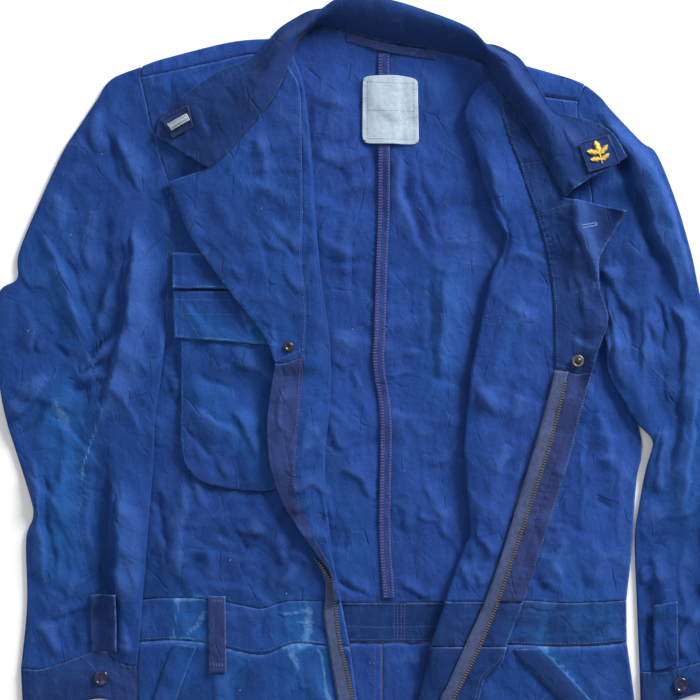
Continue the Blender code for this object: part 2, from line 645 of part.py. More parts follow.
# ------------------------------------------------------------------------------------- trousers and band
def band_front(cut_lines, lower_front):
    """The waistband's front, as far as the front's roll line."""
    top = lower_front[-1].copy()
    top[:, 1] += BAND_DOWN
    low = spaced(cut_lines["band_low"], len(top) - 1)
    plan = between(top[:, :2], low, 2).transpose(1, 0, 2)
    height = np.broadcast_to(top[:, 2], plan.shape[:-1])
    return with_height(plan, height)


def leg_front(band):
    top = band[-1].copy()
    top[:, 1] += BAND_DOWN
    return top


def leg_outer_line(cut_lines, start):
    line = spaced(cut_lines["leg_outer"], LEG_STEPS)
    line[0] = start
    return line


def trouser_back(cut_lines, band_row):
    """One half of the seat with its leg, on the surface."""
    top = band_row[:, :2].copy()
    top[:, 1] += BAND_DOWN
    toward = 1 if cut_lines is RIGHT else -1
    seat = [(SEAT_ACROSS - toward * SEAT_GAP, top[-1, 1]), (SEAT_ACROSS - toward * SEAT_GAP, 955)]
    inner = joined(spaced([top[-1], seat[1]], 4), spaced(cut_lines["leg_inner"], LEG_STEPS - 4))
    plan = patch(top, spaced(cut_lines["hem"], len(top) - 1), leg_outer_line(cut_lines, top[0]), inner)
    return with_height(plan, PLY / 2 + ridges(plan, LEG_FOLDS) * leg_share(plan))


def leg_share(plan):
    """Folds fade towards the outer and inner seams, where front and back are sewn together."""
    off_first = np.linalg.norm(plan - plan[:, :1], axis=-1)
    off_last = np.linalg.norm(plan - plan[:, -1:], axis=-1)
    return ease(off_first / 40) * ease(off_last / 40)


def trouser_front(cut_lines, top):
    fly = spaced(cut_lines["fly_line"], 4)
    fly[0] = top[-1, :2]
    inner = joined(fly, spaced(cut_lines["leg_inner"], LEG_STEPS - 4))
    plan = patch(
        top[:, :2],
        spaced(cut_lines["hem"], len(top) - 1),
        leg_outer_line(cut_lines, top[0, :2]),
        inner,
    )
    off_first = np.linalg.norm(plan - plan[:, :1], axis=-1)
    off_last = np.linalg.norm(plan - plan[:, -1:], axis=-1)
    row = np.arange(LEG_STEPS + 1)[:, None]
    inner_open = ease(off_last / 34) * ease((row - 3) / 2) + (1 - ease((row - 3) / 2))
    share = ease(off_first / 34) * inner_open
    loft = PLY + SEAM + (OPEN_LOFT - PLY - SEAM) * share
    height = PLY / 2 + ridges(plan, LEG_FOLDS) * leg_share(plan) + loft
    height[0] = top[:, 2]
    return with_height(plan, height)


# ------------------------------------------------------------------------------------------ hard pieces
def button(name, centre, height):
    disc = plate(name, circle(centre, BUTTON_ACROSS / 2, 20), height, BUTTON_THICK, "button")
    for k, (dx, dy) in enumerate(((-1, -1), (1, -1), (1, 1), (-1, 1))):
        at = (centre[0] + dx * BUTTON_PITCH, centre[1] + dy * BUTTON_PITCH)
        hole = plate(f"{name}_hole_{k}", circle(at, BUTTON_HOLE / 2, 6), height - 1, BUTTON_THICK + 2, "button")
        cut(disc, hole)
    dish = plate(f"{name}_dish", circle(centre, BUTTON_ACROSS / 2 - 2.2, 16), height + BUTTON_THICK - 0.7, 2, "button")
    cut(disc, dish)


def snap(name, centre, height, inner_radius, depth):
    disc = plate(name, circle(centre, SNAP_ACROSS / 2, 20), height, 2.2, "snap")
    dent = plate(f"{name}_dent", circle(centre, inner_radius, 14), height + 2.2 - depth, 3, "snap")
    cut(disc, dent)


def leaf_outline(centre, length, turn):
    """A plain leaf with five lobes and a short stalk."""
    outline = []
    for k in range(40):
        angle = 2 * math.pi * k / 40
        lobe = 0.72 + 0.28 * math.cos(5 * angle)
        reach = length * lobe * (0.86 + 0.14 * math.cos(angle))
        outline.append((reach * math.sin(angle), -reach * math.cos(angle)))
    tilt = math.radians(turn)
    turned = [(x * math.cos(tilt) - y * math.sin(tilt), x * math.sin(tilt) + y * math.cos(tilt)) for x, y in outline]
    return [(centre[0] + x, centre[1] + y) for x, y in turned]


def slider_and_pull(height):
    """The slider at the foot of the opening, its two lugs and pin, and the pull tab that hinges on the pin."""
    across, down = SLIDER_AT
    shape = bmesh.new()
    box(shape, (across, down, height + SLIDER_THICK / 2), (SLIDER_WIDE, SLIDER_LONG, SLIDER_THICK))
    slider = add_object("zip_slider", shape, "brass", smooth=False)
    edge = slider.modifiers.new("Edge", "BEVEL")
    edge.width = 1.0 * MM
    edge.segments = 2
    eye_outer = PIN_RADIUS + EYE_GAP + 1.1
    pin_height = height + SLIDER_THICK + EYE_GAP + eye_outer
    pin_down = down + 3.5
    parts = bmesh.new()
    for side in (-1, 1):
        centre = (across + side * (PIN_LONG - LUG_THICK) / 2, pin_down, (height + 1 + pin_height + 1.2) / 2)
        box(parts, centre, (LUG_THICK, 3.4, pin_height + 1.2 - height - 1))
    lugs = add_object("zip_slider_lugs", parts, "brass", smooth=False)
    pin = rod("zip_slider_pin", (across, pin_down, pin_height), PIN_RADIUS, PIN_LONG - 0.4, 12)
    for extra in (lugs, pin):
        extra.hide_render = True
        extra.display_type = "WIRE"
        weld = slider.modifiers.new("Join", "BOOLEAN")
        weld.operation = "UNION"
        weld.object = extra
    pull_tab(across, pin_down, pin_height, eye_outer)


def rod(name, centre, radius, length, sides):
    """A rod along X about the centre."""
    shape = bmesh.new()
    made = bmesh.ops.create_cone(
        shape, cap_ends=True, segments=sides, radius1=radius * MM, radius2=radius * MM, depth=length * MM
    )["verts"]
    middle = in_metres(centre)
    for vert in made:
        x, y, z = vert.co
        vert.co = (middle[0] + z, middle[1] + y, middle[2] - x)
    return add_object(name, shape, "brass", smooth=False)


def pull_tab(across, down, height, eye_outer):
    """The tab has its origin on the pin's axis and lies towards the hem."""
    eye_wide = PIN_LONG - 2 * LUG_THICK - 2 * EYE_GAP
    shape = bmesh.new()
    sides = 16
    rings = []
    for x in (-eye_wide / 2, eye_wide / 2):
        for radius in (eye_outer, PIN_RADIUS + EYE_GAP):
            turn = [2 * math.pi * k / sides for k in range(sides)]
            ring = [shape.verts.new((x * MM, radius * math.cos(a) * MM, radius * math.sin(a) * MM)) for a in turn]
            rings.append(ring)
    low_out, low_in, high_out, high_in = rings
    for one, other in ((low_out, high_out), (low_in, high_in), (low_out, low_in), (high_out, high_in)):
        for k in range(sides):
            n = (k + 1) % sides
            shape.faces.new((one[k], one[n], other[n], other[k]))
    tab = add_object("zip_pull", shape, "brass", smooth=False)
    blade = bmesh.new()
    start = -(PIN_RADIUS + EYE_GAP + 0.5) * MM
    half_root, half_end = eye_wide / 2 * MM, TAB_WIDE / 2 * MM
    end = -TAB_LONG * MM
    outline = [
        (-half_root, start), (half_root, start), (half_root, start * 2.6), (half_end, start * 5),
        (half_end, end + half_end * 0.5), (half_end * 0.5, end), (-half_end * 0.5, end),
        (-half_end, end + half_end * 0.5), (-half_end, start * 5), (-half_root, start * 2.6),
    ]
    face = blade.faces.new([blade.verts.new((x, y, -TAB_THICK / 2 * MM)) for x, y in outline])
    raised = bmesh.ops.extrude_face_region(blade, geom=[face])["geom"]
    for vert in (item for item in raised if isinstance(item, bmesh.types.BMVert)):
        vert.co.z += TAB_THICK * MM
    blade_object = add_object("zip_pull_blade", blade, "brass", smooth=False)
    blade_object.hide_render = True
    blade_object.display_type = "WIRE"
    weld = tab.modifiers.new("Join", "BOOLEAN")
    weld.operation = "UNION"
    weld.object = blade_object
    for made in (tab, blade_object):
        made.location = in_metres((across, down, height))
        made.rotation_euler = (math.radians(TAB_DROOP), 0, 0)


# -------------------------------------------------------------------------------------------- the suit
def strip_on(pile, name, first, last, rows, columns, finish, reach=8, gap=SEAM, thickness=PLY):
    """A narrow piece between two lines, laid on what is there."""
    plan = between(spaced(first, rows), spaced(last, rows), columns)
    grid = pile.laid(plan, reach, gap, thickness)
    sew(name, [grid], finish, thickness)
    pile.add(grid, thickness=thickness)
    return grid


def block_on(pile, name, corners, columns, rows, finish, reach=12, gap=SEAM, thickness=PLY):
    grid = pile.laid(four_sided(corners, columns, rows), reach, gap, thickness)
    sew(name, [grid], finish, thickness)
    pile.add(grid, thickness=thickness)
    return grid


def make_suit():
    lower = {
        "right": front_lower(RIGHT, RIGHT_FRONT_FOLDS),
        "left": front_lower(LEFT, LEFT_FRONT_FOLDS),
    }
    wraps = {
        "right": shoulder_wrap(RIGHT, lower["right"][0]),
        "left": shoulder_wrap(LEFT, lower["left"][0]),
    }
    back = back_main(wraps["right"][0], wraps["left"][0])
    sew("back", [back, wraps["right"], wraps["left"]])

    pile = Pile()
    pile.add(back, wraps["right"], wraps["left"])
    centre_first = np.array(CENTRE_STRIP, float)
    strip_on(pile, "back_seam_strip", centre_first, centre_first + (CENTRE_STRIP_WIDE, 0), 16, 2, "faced")
    block_on(pile, "label", LABEL, 4, 5, "label", thickness=1.0)

    band_back_plan = between(
        back[-1, :, :2] + (0, BAND_DOWN), spaced(BACK_BAND_LOW, back.shape[1] - 1), 2
    ).transpose(1, 0, 2)
    band_back = with_height(band_back_plan, PLY / 2)
    band_back[0, :, 2] = back[-1, :, 2]
    sew("waistband_back", [band_back], "faced")
    pile.add(band_back)
    half = band_back.shape[1] // 2
    seat_half = {"right": band_back[-1, : half + 1].copy(), "left": band_back[-1, half:][::-1].copy()}
    for side, cut_lines in (("right", RIGHT), ("left", LEFT)):
        toward = 1 if side == "right" else -1
        row = seat_half[side]
        row[-1, 0] = SEAT_ACROSS - toward * SEAT_GAP
        leg = trouser_back(cut_lines, row)
        sew(f"trouser_back_{side}", [leg])
        pile.add(leg)

    pile.add(lower["right"], lower["left"])
    bands = {}
    for side, cut_lines in (("right", RIGHT), ("left", LEFT)):
        bands[side] = band_front(cut_lines, lower[side])
        top = leg_front(bands[side])
        if side == "left":
            top[:, 0] = np.interp(np.linspace(0, 1, len(top)), [0, 1], [top[0, 0], LEFT["fly_line"][0][0]])
        leg = trouser_front(cut_lines, top)
        sew(f"trouser_front_{side}", [leg])
        pile.add(bands[side], leg)
        strip_on(pile, f"hip_pocket_welt_{side}", cut_lines["welt_slit"], cut_lines["welt_inner"], 6, 2, "faced", 14)

    # The right band ends at the zip; the left one turns back with the front.
    sew("waistband_front_right", [bands["right"]])
    block_on(pile, "belt_loop", BELT_LOOP, 2, 5, "faced", reach=14)
    pocket_first = spaced([POCKET_TOP[0], POCKET_FOOT[0]], 6)
    pocket_last = spaced([POCKET_TOP[-1], POCKET_FOOT[-1]], 6)
    pocket = pile.laid(patch(spaced(POCKET_TOP, 7), spaced(POCKET_FOOT, 7), pocket_first, pocket_last), 16)
    sew("chest_pocket", [pocket])
    pile.add(pocket)
    block_on(pile, "pocket_flap", FLAP, 5, 2, "cloth", reach=18)
    block_on(pile, "name_tape", NAME_TAPE, 5, 2, "cloth", reach=18)
    strip_on(pile, "zip_tape_right", RIGHT_TAPE_EDGE, RIGHT_TEETH, 18, 1, "tape", reach=14)

    for side, cut_lines, folds, inward, fade in (
        ("right", RIGHT, RIGHT_SLEEVE_FOLDS, 1, 640),
        ("left", LEFT, LEFT_SLEEVE_FOLDS, -1, 450),
    ):
        upper, under = sleeve_sheets(cut_lines, wraps[side], lower[side], folds, inward, fade)
        sew(f"sleeve_{side}", [tube(upper, under)])
        pile.add(upper)
        high, low = cuff_ring(upper, under, cut_lines, 1.5)
        sew(f"cuff_{side}", [tube(high, low)], "cloth", 1.5)
        pile.add(high, thickness=1.5)
        block_on(pile, f"sleeve_placket_{side}", cut_lines["placket"], 2, 6, "faced", reach=5)

    turned = {}
    for side, cut_lines, folds in (("right", RIGHT, RIGHT_TURNED_FOLDS), ("left", LEFT, LEFT_TURNED_FOLDS)):
        turned[side] = front_turned(cut_lines, folds, pile)
        sew(f"front_{side}", [turned_sheet(lower[side], turned[side])])
    band_edge = np.array([(522, 600.3), (505, 644.6)])
    band_roll = np.array([(445, 600.3), (430, 644.6)])
    flap_plan = between(spaced(band_roll, 2), spaced(band_edge, 2), 4)
    flap = with_height(flap_plan, pile.rest(flap_plan, 20) + LOFT - PLY / 2)
    flap[0, :, 2] = np.interp(flap[0, :, 0], turned["left"][-1, :, 0], turned["left"][-1, :, 2])
    sew("waistband_front_left", [turned_sheet(bands["left"], flap)])
    fly_roll = spaced(FLY_ROLL, 8)
    fly_roll[:, 1] += 0.3
    fly_edge = spaced(FLY_EDGE, 8)
    fly_edge[:, 1] += 0.3
    fly_plan = between(fly_roll, fly_edge, 3)
    fly_upper = with_height(fly_plan, pile.rest(fly_plan, 16) + LOFT)
    lip_plan = between(fly_roll + (FLY_LIP, 0), fly_roll, 1)
    fly_lip = with_height(lip_plan, PLY / 2 + OPEN_LOFT)
    sew("fly_left", [turned_sheet(fly_lip, fly_upper)])
    pile.add(turned["right"], turned["left"], flap, fly_upper)
    for side in ("right", "left"):
        faced = turned[side][:, INNER_STEPS:].copy()
        faced[..., 2] += PLY + SEAM
        facing = faced[: ROWS_ABOVE + 1].copy()
        placket = faced[ROWS_ABOVE:].copy()
        placket[0] = facing[-1] * 0.96 + placket[1] * 0.04
        sew(f"facing_{side}", [facing], "faced")
        sew(f"front_placket_{side}", [placket], "faced")
        pile.add(facing, placket)
    strip_on(pile, "zip_tape_left", LEFT_TAPE_EDGE, LEFT_TEETH, 24, 1, "tape", reach=12)

    loop_first = spaced(LOOP_TOP, 10)
    loop = pile.laid(between(loop_first, loop_first + (0, LOOP_WIDE), 1), 3)
    sew("hanger_loop", [loop], "faced")
    neck = back[0, SHOULDER_STEPS : SHOULDER_STEPS + NECK_STEPS + 1]
    seam_columns = slice(INNER_STEPS, INNER_STEPS + SEAM_STEPS + 1)
    sections = collar_rows(
        turned["right"][0, seam_columns], turned["left"][0, seam_columns], wraps["right"], wraps["left"], neck, pile
    )
    collar = collar_grid(sections, pile)
    sew("collar", [collar], "faced", COLLAR_PLY)
    pile.add(collar, thickness=COLLAR_PLY)

    block_on(pile, "patch_right", RIGHT_PATCH, 3, 3, "cloth", reach=5)
    block_on(pile, "patch_left", LEFT_PATCH, 3, 3, "cloth", reach=5)
    block_on(pile, "bar_badge", BAR, 2, 1, "silver", reach=5, thickness=1.0)
    leaf = leaf_outline(LEAF_CENTRE, LEAF_LONG, LEAF_TURN)
    plate("leaf_badge", leaf, float(pile.rest(np.array(LEAF_CENTRE), 12)) + SEAM, 1.2, "gold")

    for side, cut_lines in (("right", RIGHT), ("left", LEFT)):
        at = cut_lines["button"]
        button(f"cuff_button_{side}", at, float(pile.rest(np.array(at, float), 8)) + SEAM)
    snap("snap_socket", SNAP_SOCKET, float(pile.rest(np.array(SNAP_SOCKET, float), 8)) + SEAM, 2.4, 1.4)
    snap("snap_stud", SNAP_STUD, float(pile.rest(np.array(SNAP_STUD, float), 8)) + SEAM, 3.8, 0.8)
    slider_and_pull(float(pile.rest(np.array(SLIDER_AT, float), 8)) + SEAM)


for old in list(bpy.data.objects):
    bpy.data.objects.remove(old)
make_suit()
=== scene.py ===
"""The looks of a boiler suit laid on its back, unzipped, with both fronts turned outwards.

Plan places are (across, down) in millimetres on a drafting sheet, measured from its top left corner, and
heights are millimetres above the surface that the suit lies on. "Right" and "left" are the wearer's. The
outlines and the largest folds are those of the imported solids. Each cloth piece is made again here as a fine
sheet on the same lines, with its creases, puckers and wear, and stands for its solid.
"""

import math

import bpy
import numpy as np
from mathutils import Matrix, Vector
from mathutils.bvhtree import BVHTree


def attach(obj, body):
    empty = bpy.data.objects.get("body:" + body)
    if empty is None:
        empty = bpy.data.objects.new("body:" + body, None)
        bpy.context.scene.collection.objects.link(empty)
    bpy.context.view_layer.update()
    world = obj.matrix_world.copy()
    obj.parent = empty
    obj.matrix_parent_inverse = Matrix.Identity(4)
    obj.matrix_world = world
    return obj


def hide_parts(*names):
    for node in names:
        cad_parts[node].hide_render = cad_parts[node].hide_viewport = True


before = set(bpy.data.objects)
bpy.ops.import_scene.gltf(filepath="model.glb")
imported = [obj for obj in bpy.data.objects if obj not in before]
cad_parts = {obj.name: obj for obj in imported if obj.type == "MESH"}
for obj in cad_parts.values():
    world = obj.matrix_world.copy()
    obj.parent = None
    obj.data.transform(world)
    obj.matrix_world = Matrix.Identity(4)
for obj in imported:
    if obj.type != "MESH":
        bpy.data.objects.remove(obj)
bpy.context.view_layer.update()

MM = 0.001
ORIGIN = (370.816, 871.246)  # the plan place under the part's origin

PLY = 1.2  # thickness of the cloth
COLLAR_PLY = 2.0  # the collar is two plies and an interlining
CUFF_PLY = 1.5
THIN_PLY = 1.0  # the label and the patches
BAR_PLY = 0.9
SEAM = 0.3  # gap between pieces that are sewn together or lie on each other
LOFT = 2.6  # between the middles of two plies that turn into each other
OPEN_LOFT = 3.6  # the same in the middle of a panel, where air lifts the upper one
COLLAR_GAP = 0.4  # the stand starts this far from the seam that it is sewn to
BAND_DOWN = 0.6  # from the waist seam to the band that is sewn to it
SEAT_ACROSS, SEAT_GAP = 382.0, 0.3  # the seat's centre seam, and half the gap along it
CENTRE_STRIP_WIDE, LOOP_WIDE, FLY_LIP = 11.5, 8.0, 12.0

SHOULDER_STEPS, NECK_STEPS, SEAM_STEPS, LAPEL_STEPS, INNER_STEPS = 60, 70, 40, 16, 20
ARMHOLE_STEPS, SIDE_STEPS, ROWS_ABOVE = 80, 120, 100
ROWS_BELOW = ARMHOLE_STEPS + SIDE_STEPS - ROWS_ABOVE
SLEEVE_STEPS, SLEEVE_COLUMNS, LEG_STEPS = 210, 56, 152
CROTCH_STEPS = LEG_STEPS * 4 // 11  # rows from the waistband to the crotch
HIDDEN_STRIDE = 4  # a sheet that its facing covers needs only every fourth column
ROW_LENGTH = 10  # fine rows in one row of the solids, which the eases below are stated in
SLEEVE_ROWS, LEG_ROWS = 14, 11  # rows of the solids' sleeves and legs, for the same
NARROWEST_CUT, LEAST_SHARE = 0.01, 0.35


# ------------------------------------------------------------------------------------------------ tables
def table(text):
    """A tuple for each row: its words and numbers, then the list of its places, if it has any.

    A place is written across,down. A row that starts with one goes on from the row above.
    """
    rows = []
    for line in text.strip().splitlines():
        cells = line.split()
        heads = [cell if cell[0].isalpha() else float(cell) for cell in cells if "," not in cell]
        places = [tuple(map(float, cell.split(","))) for cell in cells if "," in cell]
        if heads:
            rows.append((*heads, places) if places else tuple(heads))
        else:
            rows[-1][-1].extend(places)
    return rows


def tables(text):
    """The rows under each name. A name has a line of its own."""
    found = {}
    for row in table(text):
        if len(row) == 1:
            rows = found[row[0]] = []
        else:
            rows.append(row)
    return found


# The outlines of each half, from the top down or from the wearer's side inwards.
CUT = {
    "right": dict(table("""
shoulder_fold 143,67 156,62 185,54 221,45 246,41 275,40 298,42
shoulder_seam 141,78 181,70 222,61 252,55 293,57
armhole 141,78 147,105 150,121 162,162 170,188 170,226 168,262 166,335
side 166,335 162,351 153,376 143,402 128,441 125,500 130,560 137,599.7
waist 137,599.7 165,597 207,598 247,605 262,607 288,600 321,600 341,599.7
roll_above 293,57 300,75 305,98 311,149 315,213 320,271 328,330 330,350
roll_below 330,350 330,400 325,451 326,500 333,560 341,599.7
line_above 289,68 300,92 302,149 303,226 302,260 307,310 305,354
line_below 305,354 300,410 297,440 296,470 300,500 316,540 333,571 338,599.7
edge_above 169,183 181,213 191,236 206,259 236,299 265,336 276,363
edge_below 276,363 270,402 268,430 272,469 287,508 319,556 330,571 335,599.7
collar_seam 289,68 280,88 270,105 257,121 238,143 222,160 209,170
lapel_top 209,170 190,176 169,183
sleeve_outer 143,67 112,80 98,100 80,127 65,150 45,192 20,252 18,279 0,293 -5,340 0,383 8,422 31,496 34,517 27,540
28,603 22,668
sleeve_inner 166,335 164,351 160,384 155,418 154,456 149,520 140.5,630 136.7,665
cuff_seam 22,668 40,669 55,665 75,658 94,651 106,651 119,661 136.7,665
cuff_edge 24,710 60,708 90,699 105,698 120,704 136.3,707
leg_outer 137.6,641 137.2,700 134,760 116,870 108,960 120,1350 135,1740
leg_inner 381.8,955 370,1060 360,1350 358,1740
hem 135,1740 240,1742 358,1740
band_low 139,641 175,639 207,642 249,652 268,652 294,642 326,644 350,645
fly_line 350,645 357,700 371,800 379,880 381.8,955
welt_slit 175,643 167,662 158,687 153,703 147,730 142,752
welt_inner 198,645 189,666 180,690 175,706 168,735 162,760
placket 92,594 118,592 118,650 92,650
button 102,677
""")),
    "left": dict(table("""
shoulder_fold 584,85 568,79 540,71 515,65 488,66
shoulder_seam 577,102 545,98 515,92 490,80
armhole 577,102 577,117 582,150 590,188 594,226 597,262 600,300 603,340
side 603,340 607,357 615,379 629,405 640,434 641,457 636,481 631,551 626,599.7
waist 626,599.7 568,602 523,599 480,600 445,599.7
roll_above 490,80 475,92 464,117 476,153 484,188 493,214 503,234 503,250 492,273 484,304 471,370
roll_below 471,370 465,430 464,457 470,528 464,546 450,584 445,599.7
line_above 499,93 501,115 511,147 519,167 542,240 552,296 554,369
line_below 554,369 544,405 526,470 515,500 511,522 501,554 486,599.7
edge_above 624,212 613,232 603,248 596,263 598,290 606,319 595,352 590,372
edge_below 590,372 580,410 569,453 550,515 533,568 522,599.7
collar_seam 499,93 512,107 522,125 534,143 544,161 553,179 563,200
lapel_top 563,200 590,204 624,212
sleeve_outer 584,85 600,98 610,110 640,142 656,155 675,202 690,253 698,290 712,350 728,420 742,500 747,560 740,620
730,656
sleeve_inner 603,340 605,354 608,374 618,393 635,421 652,441 646,468 639,508 635,538 637,600 640,671
cuff_seam 730,656 696,663 677,668 663,672 640,671
cuff_edge 734,684 700,692 687,696 670,701 641,704
leg_outer 626,641 634,700 650,850 655,950 640,1350 625,1740
leg_inner 382.2,955 394,1060 404,1350 406,1740
hem 625,1740 520,1742 406,1740
band_low 626,641 615,643 580,645 542,645 506,643 460,644 430,645
fly_line 444.5,645 435.5,685 416.5,760 395,850 385,892 382.2,955
welt_slit 541,647.5 561,667 592,701 615,729 633,752
welt_inner 513,647.5 533,671 566,706 590,735 610,760
placket 652,604 676,600 677,665 653,670
button 680,684
""")),
}

# Outlines of the middle and of the small pieces. The collar's run from the right notch round the neck to the
# left one, and the places of its rise are (share of the way round the span, height of the roll over its seam).
LINES = dict(table("""
back_neck 298,42 310,31 322,26 345,31 383,42 437,50 470,58 488,66
back_waist 137,599.7 250,601 382,602 500,601 626,599.7
back_band_low 139,641 250,642 382,642 500,642 626,641
centre_strip 378,54 378,200 376,260 374,330 373,366 380,420 379,530 383,598
loop_top 347,33.2 370,40.2 400,46.6 436,51.8
pocket_top 182,303 240,303 299,304
pocket_foot 182,440 186,462 196,476 209,483 240,489 272,489 289,478 298,458 299,440
pocket_flap 174,291 299,292 300,347 175,338
name_tape 173,253 299,254 299,289.6 173,288.6
belt_loop 209,595 226,595 227,671 210,671
patch_right 163,121 189,107 194,128 174,139
patch_left 577,146 606,137 616,165 586,174
bar_badge 169,126 188,116 191,122 173,132
teeth_right 314,556 323,567 331,580 335,597 337,620 341,646 346,665 353,700 366,780 377,850 381.5,879
tape_edge_right 313,556.5 321,568 325.5,582 325.5,597 324,615 328,640 332,666 338,700 352,780 363,850 368,879
teeth_left 567,371.5 564,381 552,430 540,470 524,519 511,557 496,602 479,644 459,685 452,700 429,780 400,848 386,879
tape_edge_left 553,371 551,381 538,430 526,470 511,519 499,557 483,602 464,644 446,685 439,700 416,780 387,848 373,879
fly_roll 430,645 421,685 402,760 380,850
fly_edge 506,645 500,662 485,675 477,700 447,780 412,850
collar_stitching 163,134 168,122 182,108 215,83 237,72 256,64 269,52 282,38
collar_roll_right 203,167 214,150 230,125 247,107 259,92 267,76 275,60 286,46 300,36
collar_roll_neck 300,36 312,26 324,14 337,4 365,1 395,6 424,15 452,25 473,36 486,54
collar_roll_left 486,54 502,66 513,84 527,101 543,119 552,137 557,157 571,192
collar_edge_right 156,138 162,117 178,102 213,76 235,66 253,58 266,45 278,31 290,22
collar_edge_neck 290,22 305,13 320,9 345,13 368,24 395,31 422,35 449,39 474,44 494,45
collar_edge_left 494,45 515,56 524,66 535,83 553,112 571,117 589,122 611,135 625,160
collar_rise_right 0,1.5 0.3,6 0.6,11 0.8,14 1,20
collar_rise_neck 0,20 0.3,23 1,21
collar_rise_left 0,21 0.3,13 0.6,9 1,1.5
label_top 365,79.5 368,77 394,76 411,78.5 415.5,81
label_foot 365,141 369,144 392,144.5 413,145 417,142
label_first 365,79.5 363,83 362.5,110 362.5,137 365,141
label_last 415.5,81 417.5,84 418,110 418.5,139 417,142
"""))
LEAF_CENTRE, LEAF_TURN = (596.5, 155.5), -15
SNAP_SOCKET, SNAP_STUD = (289, 347), (576, 361)
FLAP_EDGE, FLAP_ROLL = [(522, 600.3), (505, 644.6)], [(445, 600.3), (430, 644.6)]  # the left waistband's turned end

# The largest folds, each one soft ridge: how high it rises, half its width and its two ends.
FOLDS = tables("""
back
5 38 448,250 440,400
3 32 412,150 436,250
2 30 333,240 365,262
2.5 32 340,430 372,500
2.5 34 420,500 440,560
front_right
3.5 30 190,480 172,590
2.5 30 245,505 240,575
front_left
2.5 26 604,410 612,480
2.5 30 585,470 570,560
turned_right
3.5 30 300,120 316,320
2.5 34 225,190 290,300
3 28 290,400 300,500
turned_left
6 30 568,190 594,290
4 36 512,250 490,400
4 32 480,440 492,560
5 34 480,120 505,220
sleeve_right
6 30 128,200 120,350
4 28 104,385 92,450
4 28 60,255 84,335
4.5 24 10,425 55,372
4.5 26 134,480 128,610
3 30 52,480 58,600
3.5 26 108,120 136,180
sleeve_left
5 28 622,128 668,210
5 28 668,210 688,285
5 30 640,250 640,400
5 30 694,350 684,510
3.5 26 660,560 664,640
3 28 712,450 716,560
leg
4 44 150,760 330,880
3.5 42 300,900 200,1010
4 44 180,1150 300,1190
3.5 40 215,1230 240,1500
3 40 170,1560 300,1610
4 44 620,780 450,900
3.5 42 470,930 560,1040
4 44 590,1130 460,1180
3.5 40 545,1250 520,1520
3 40 600,1580 470,1640
""")

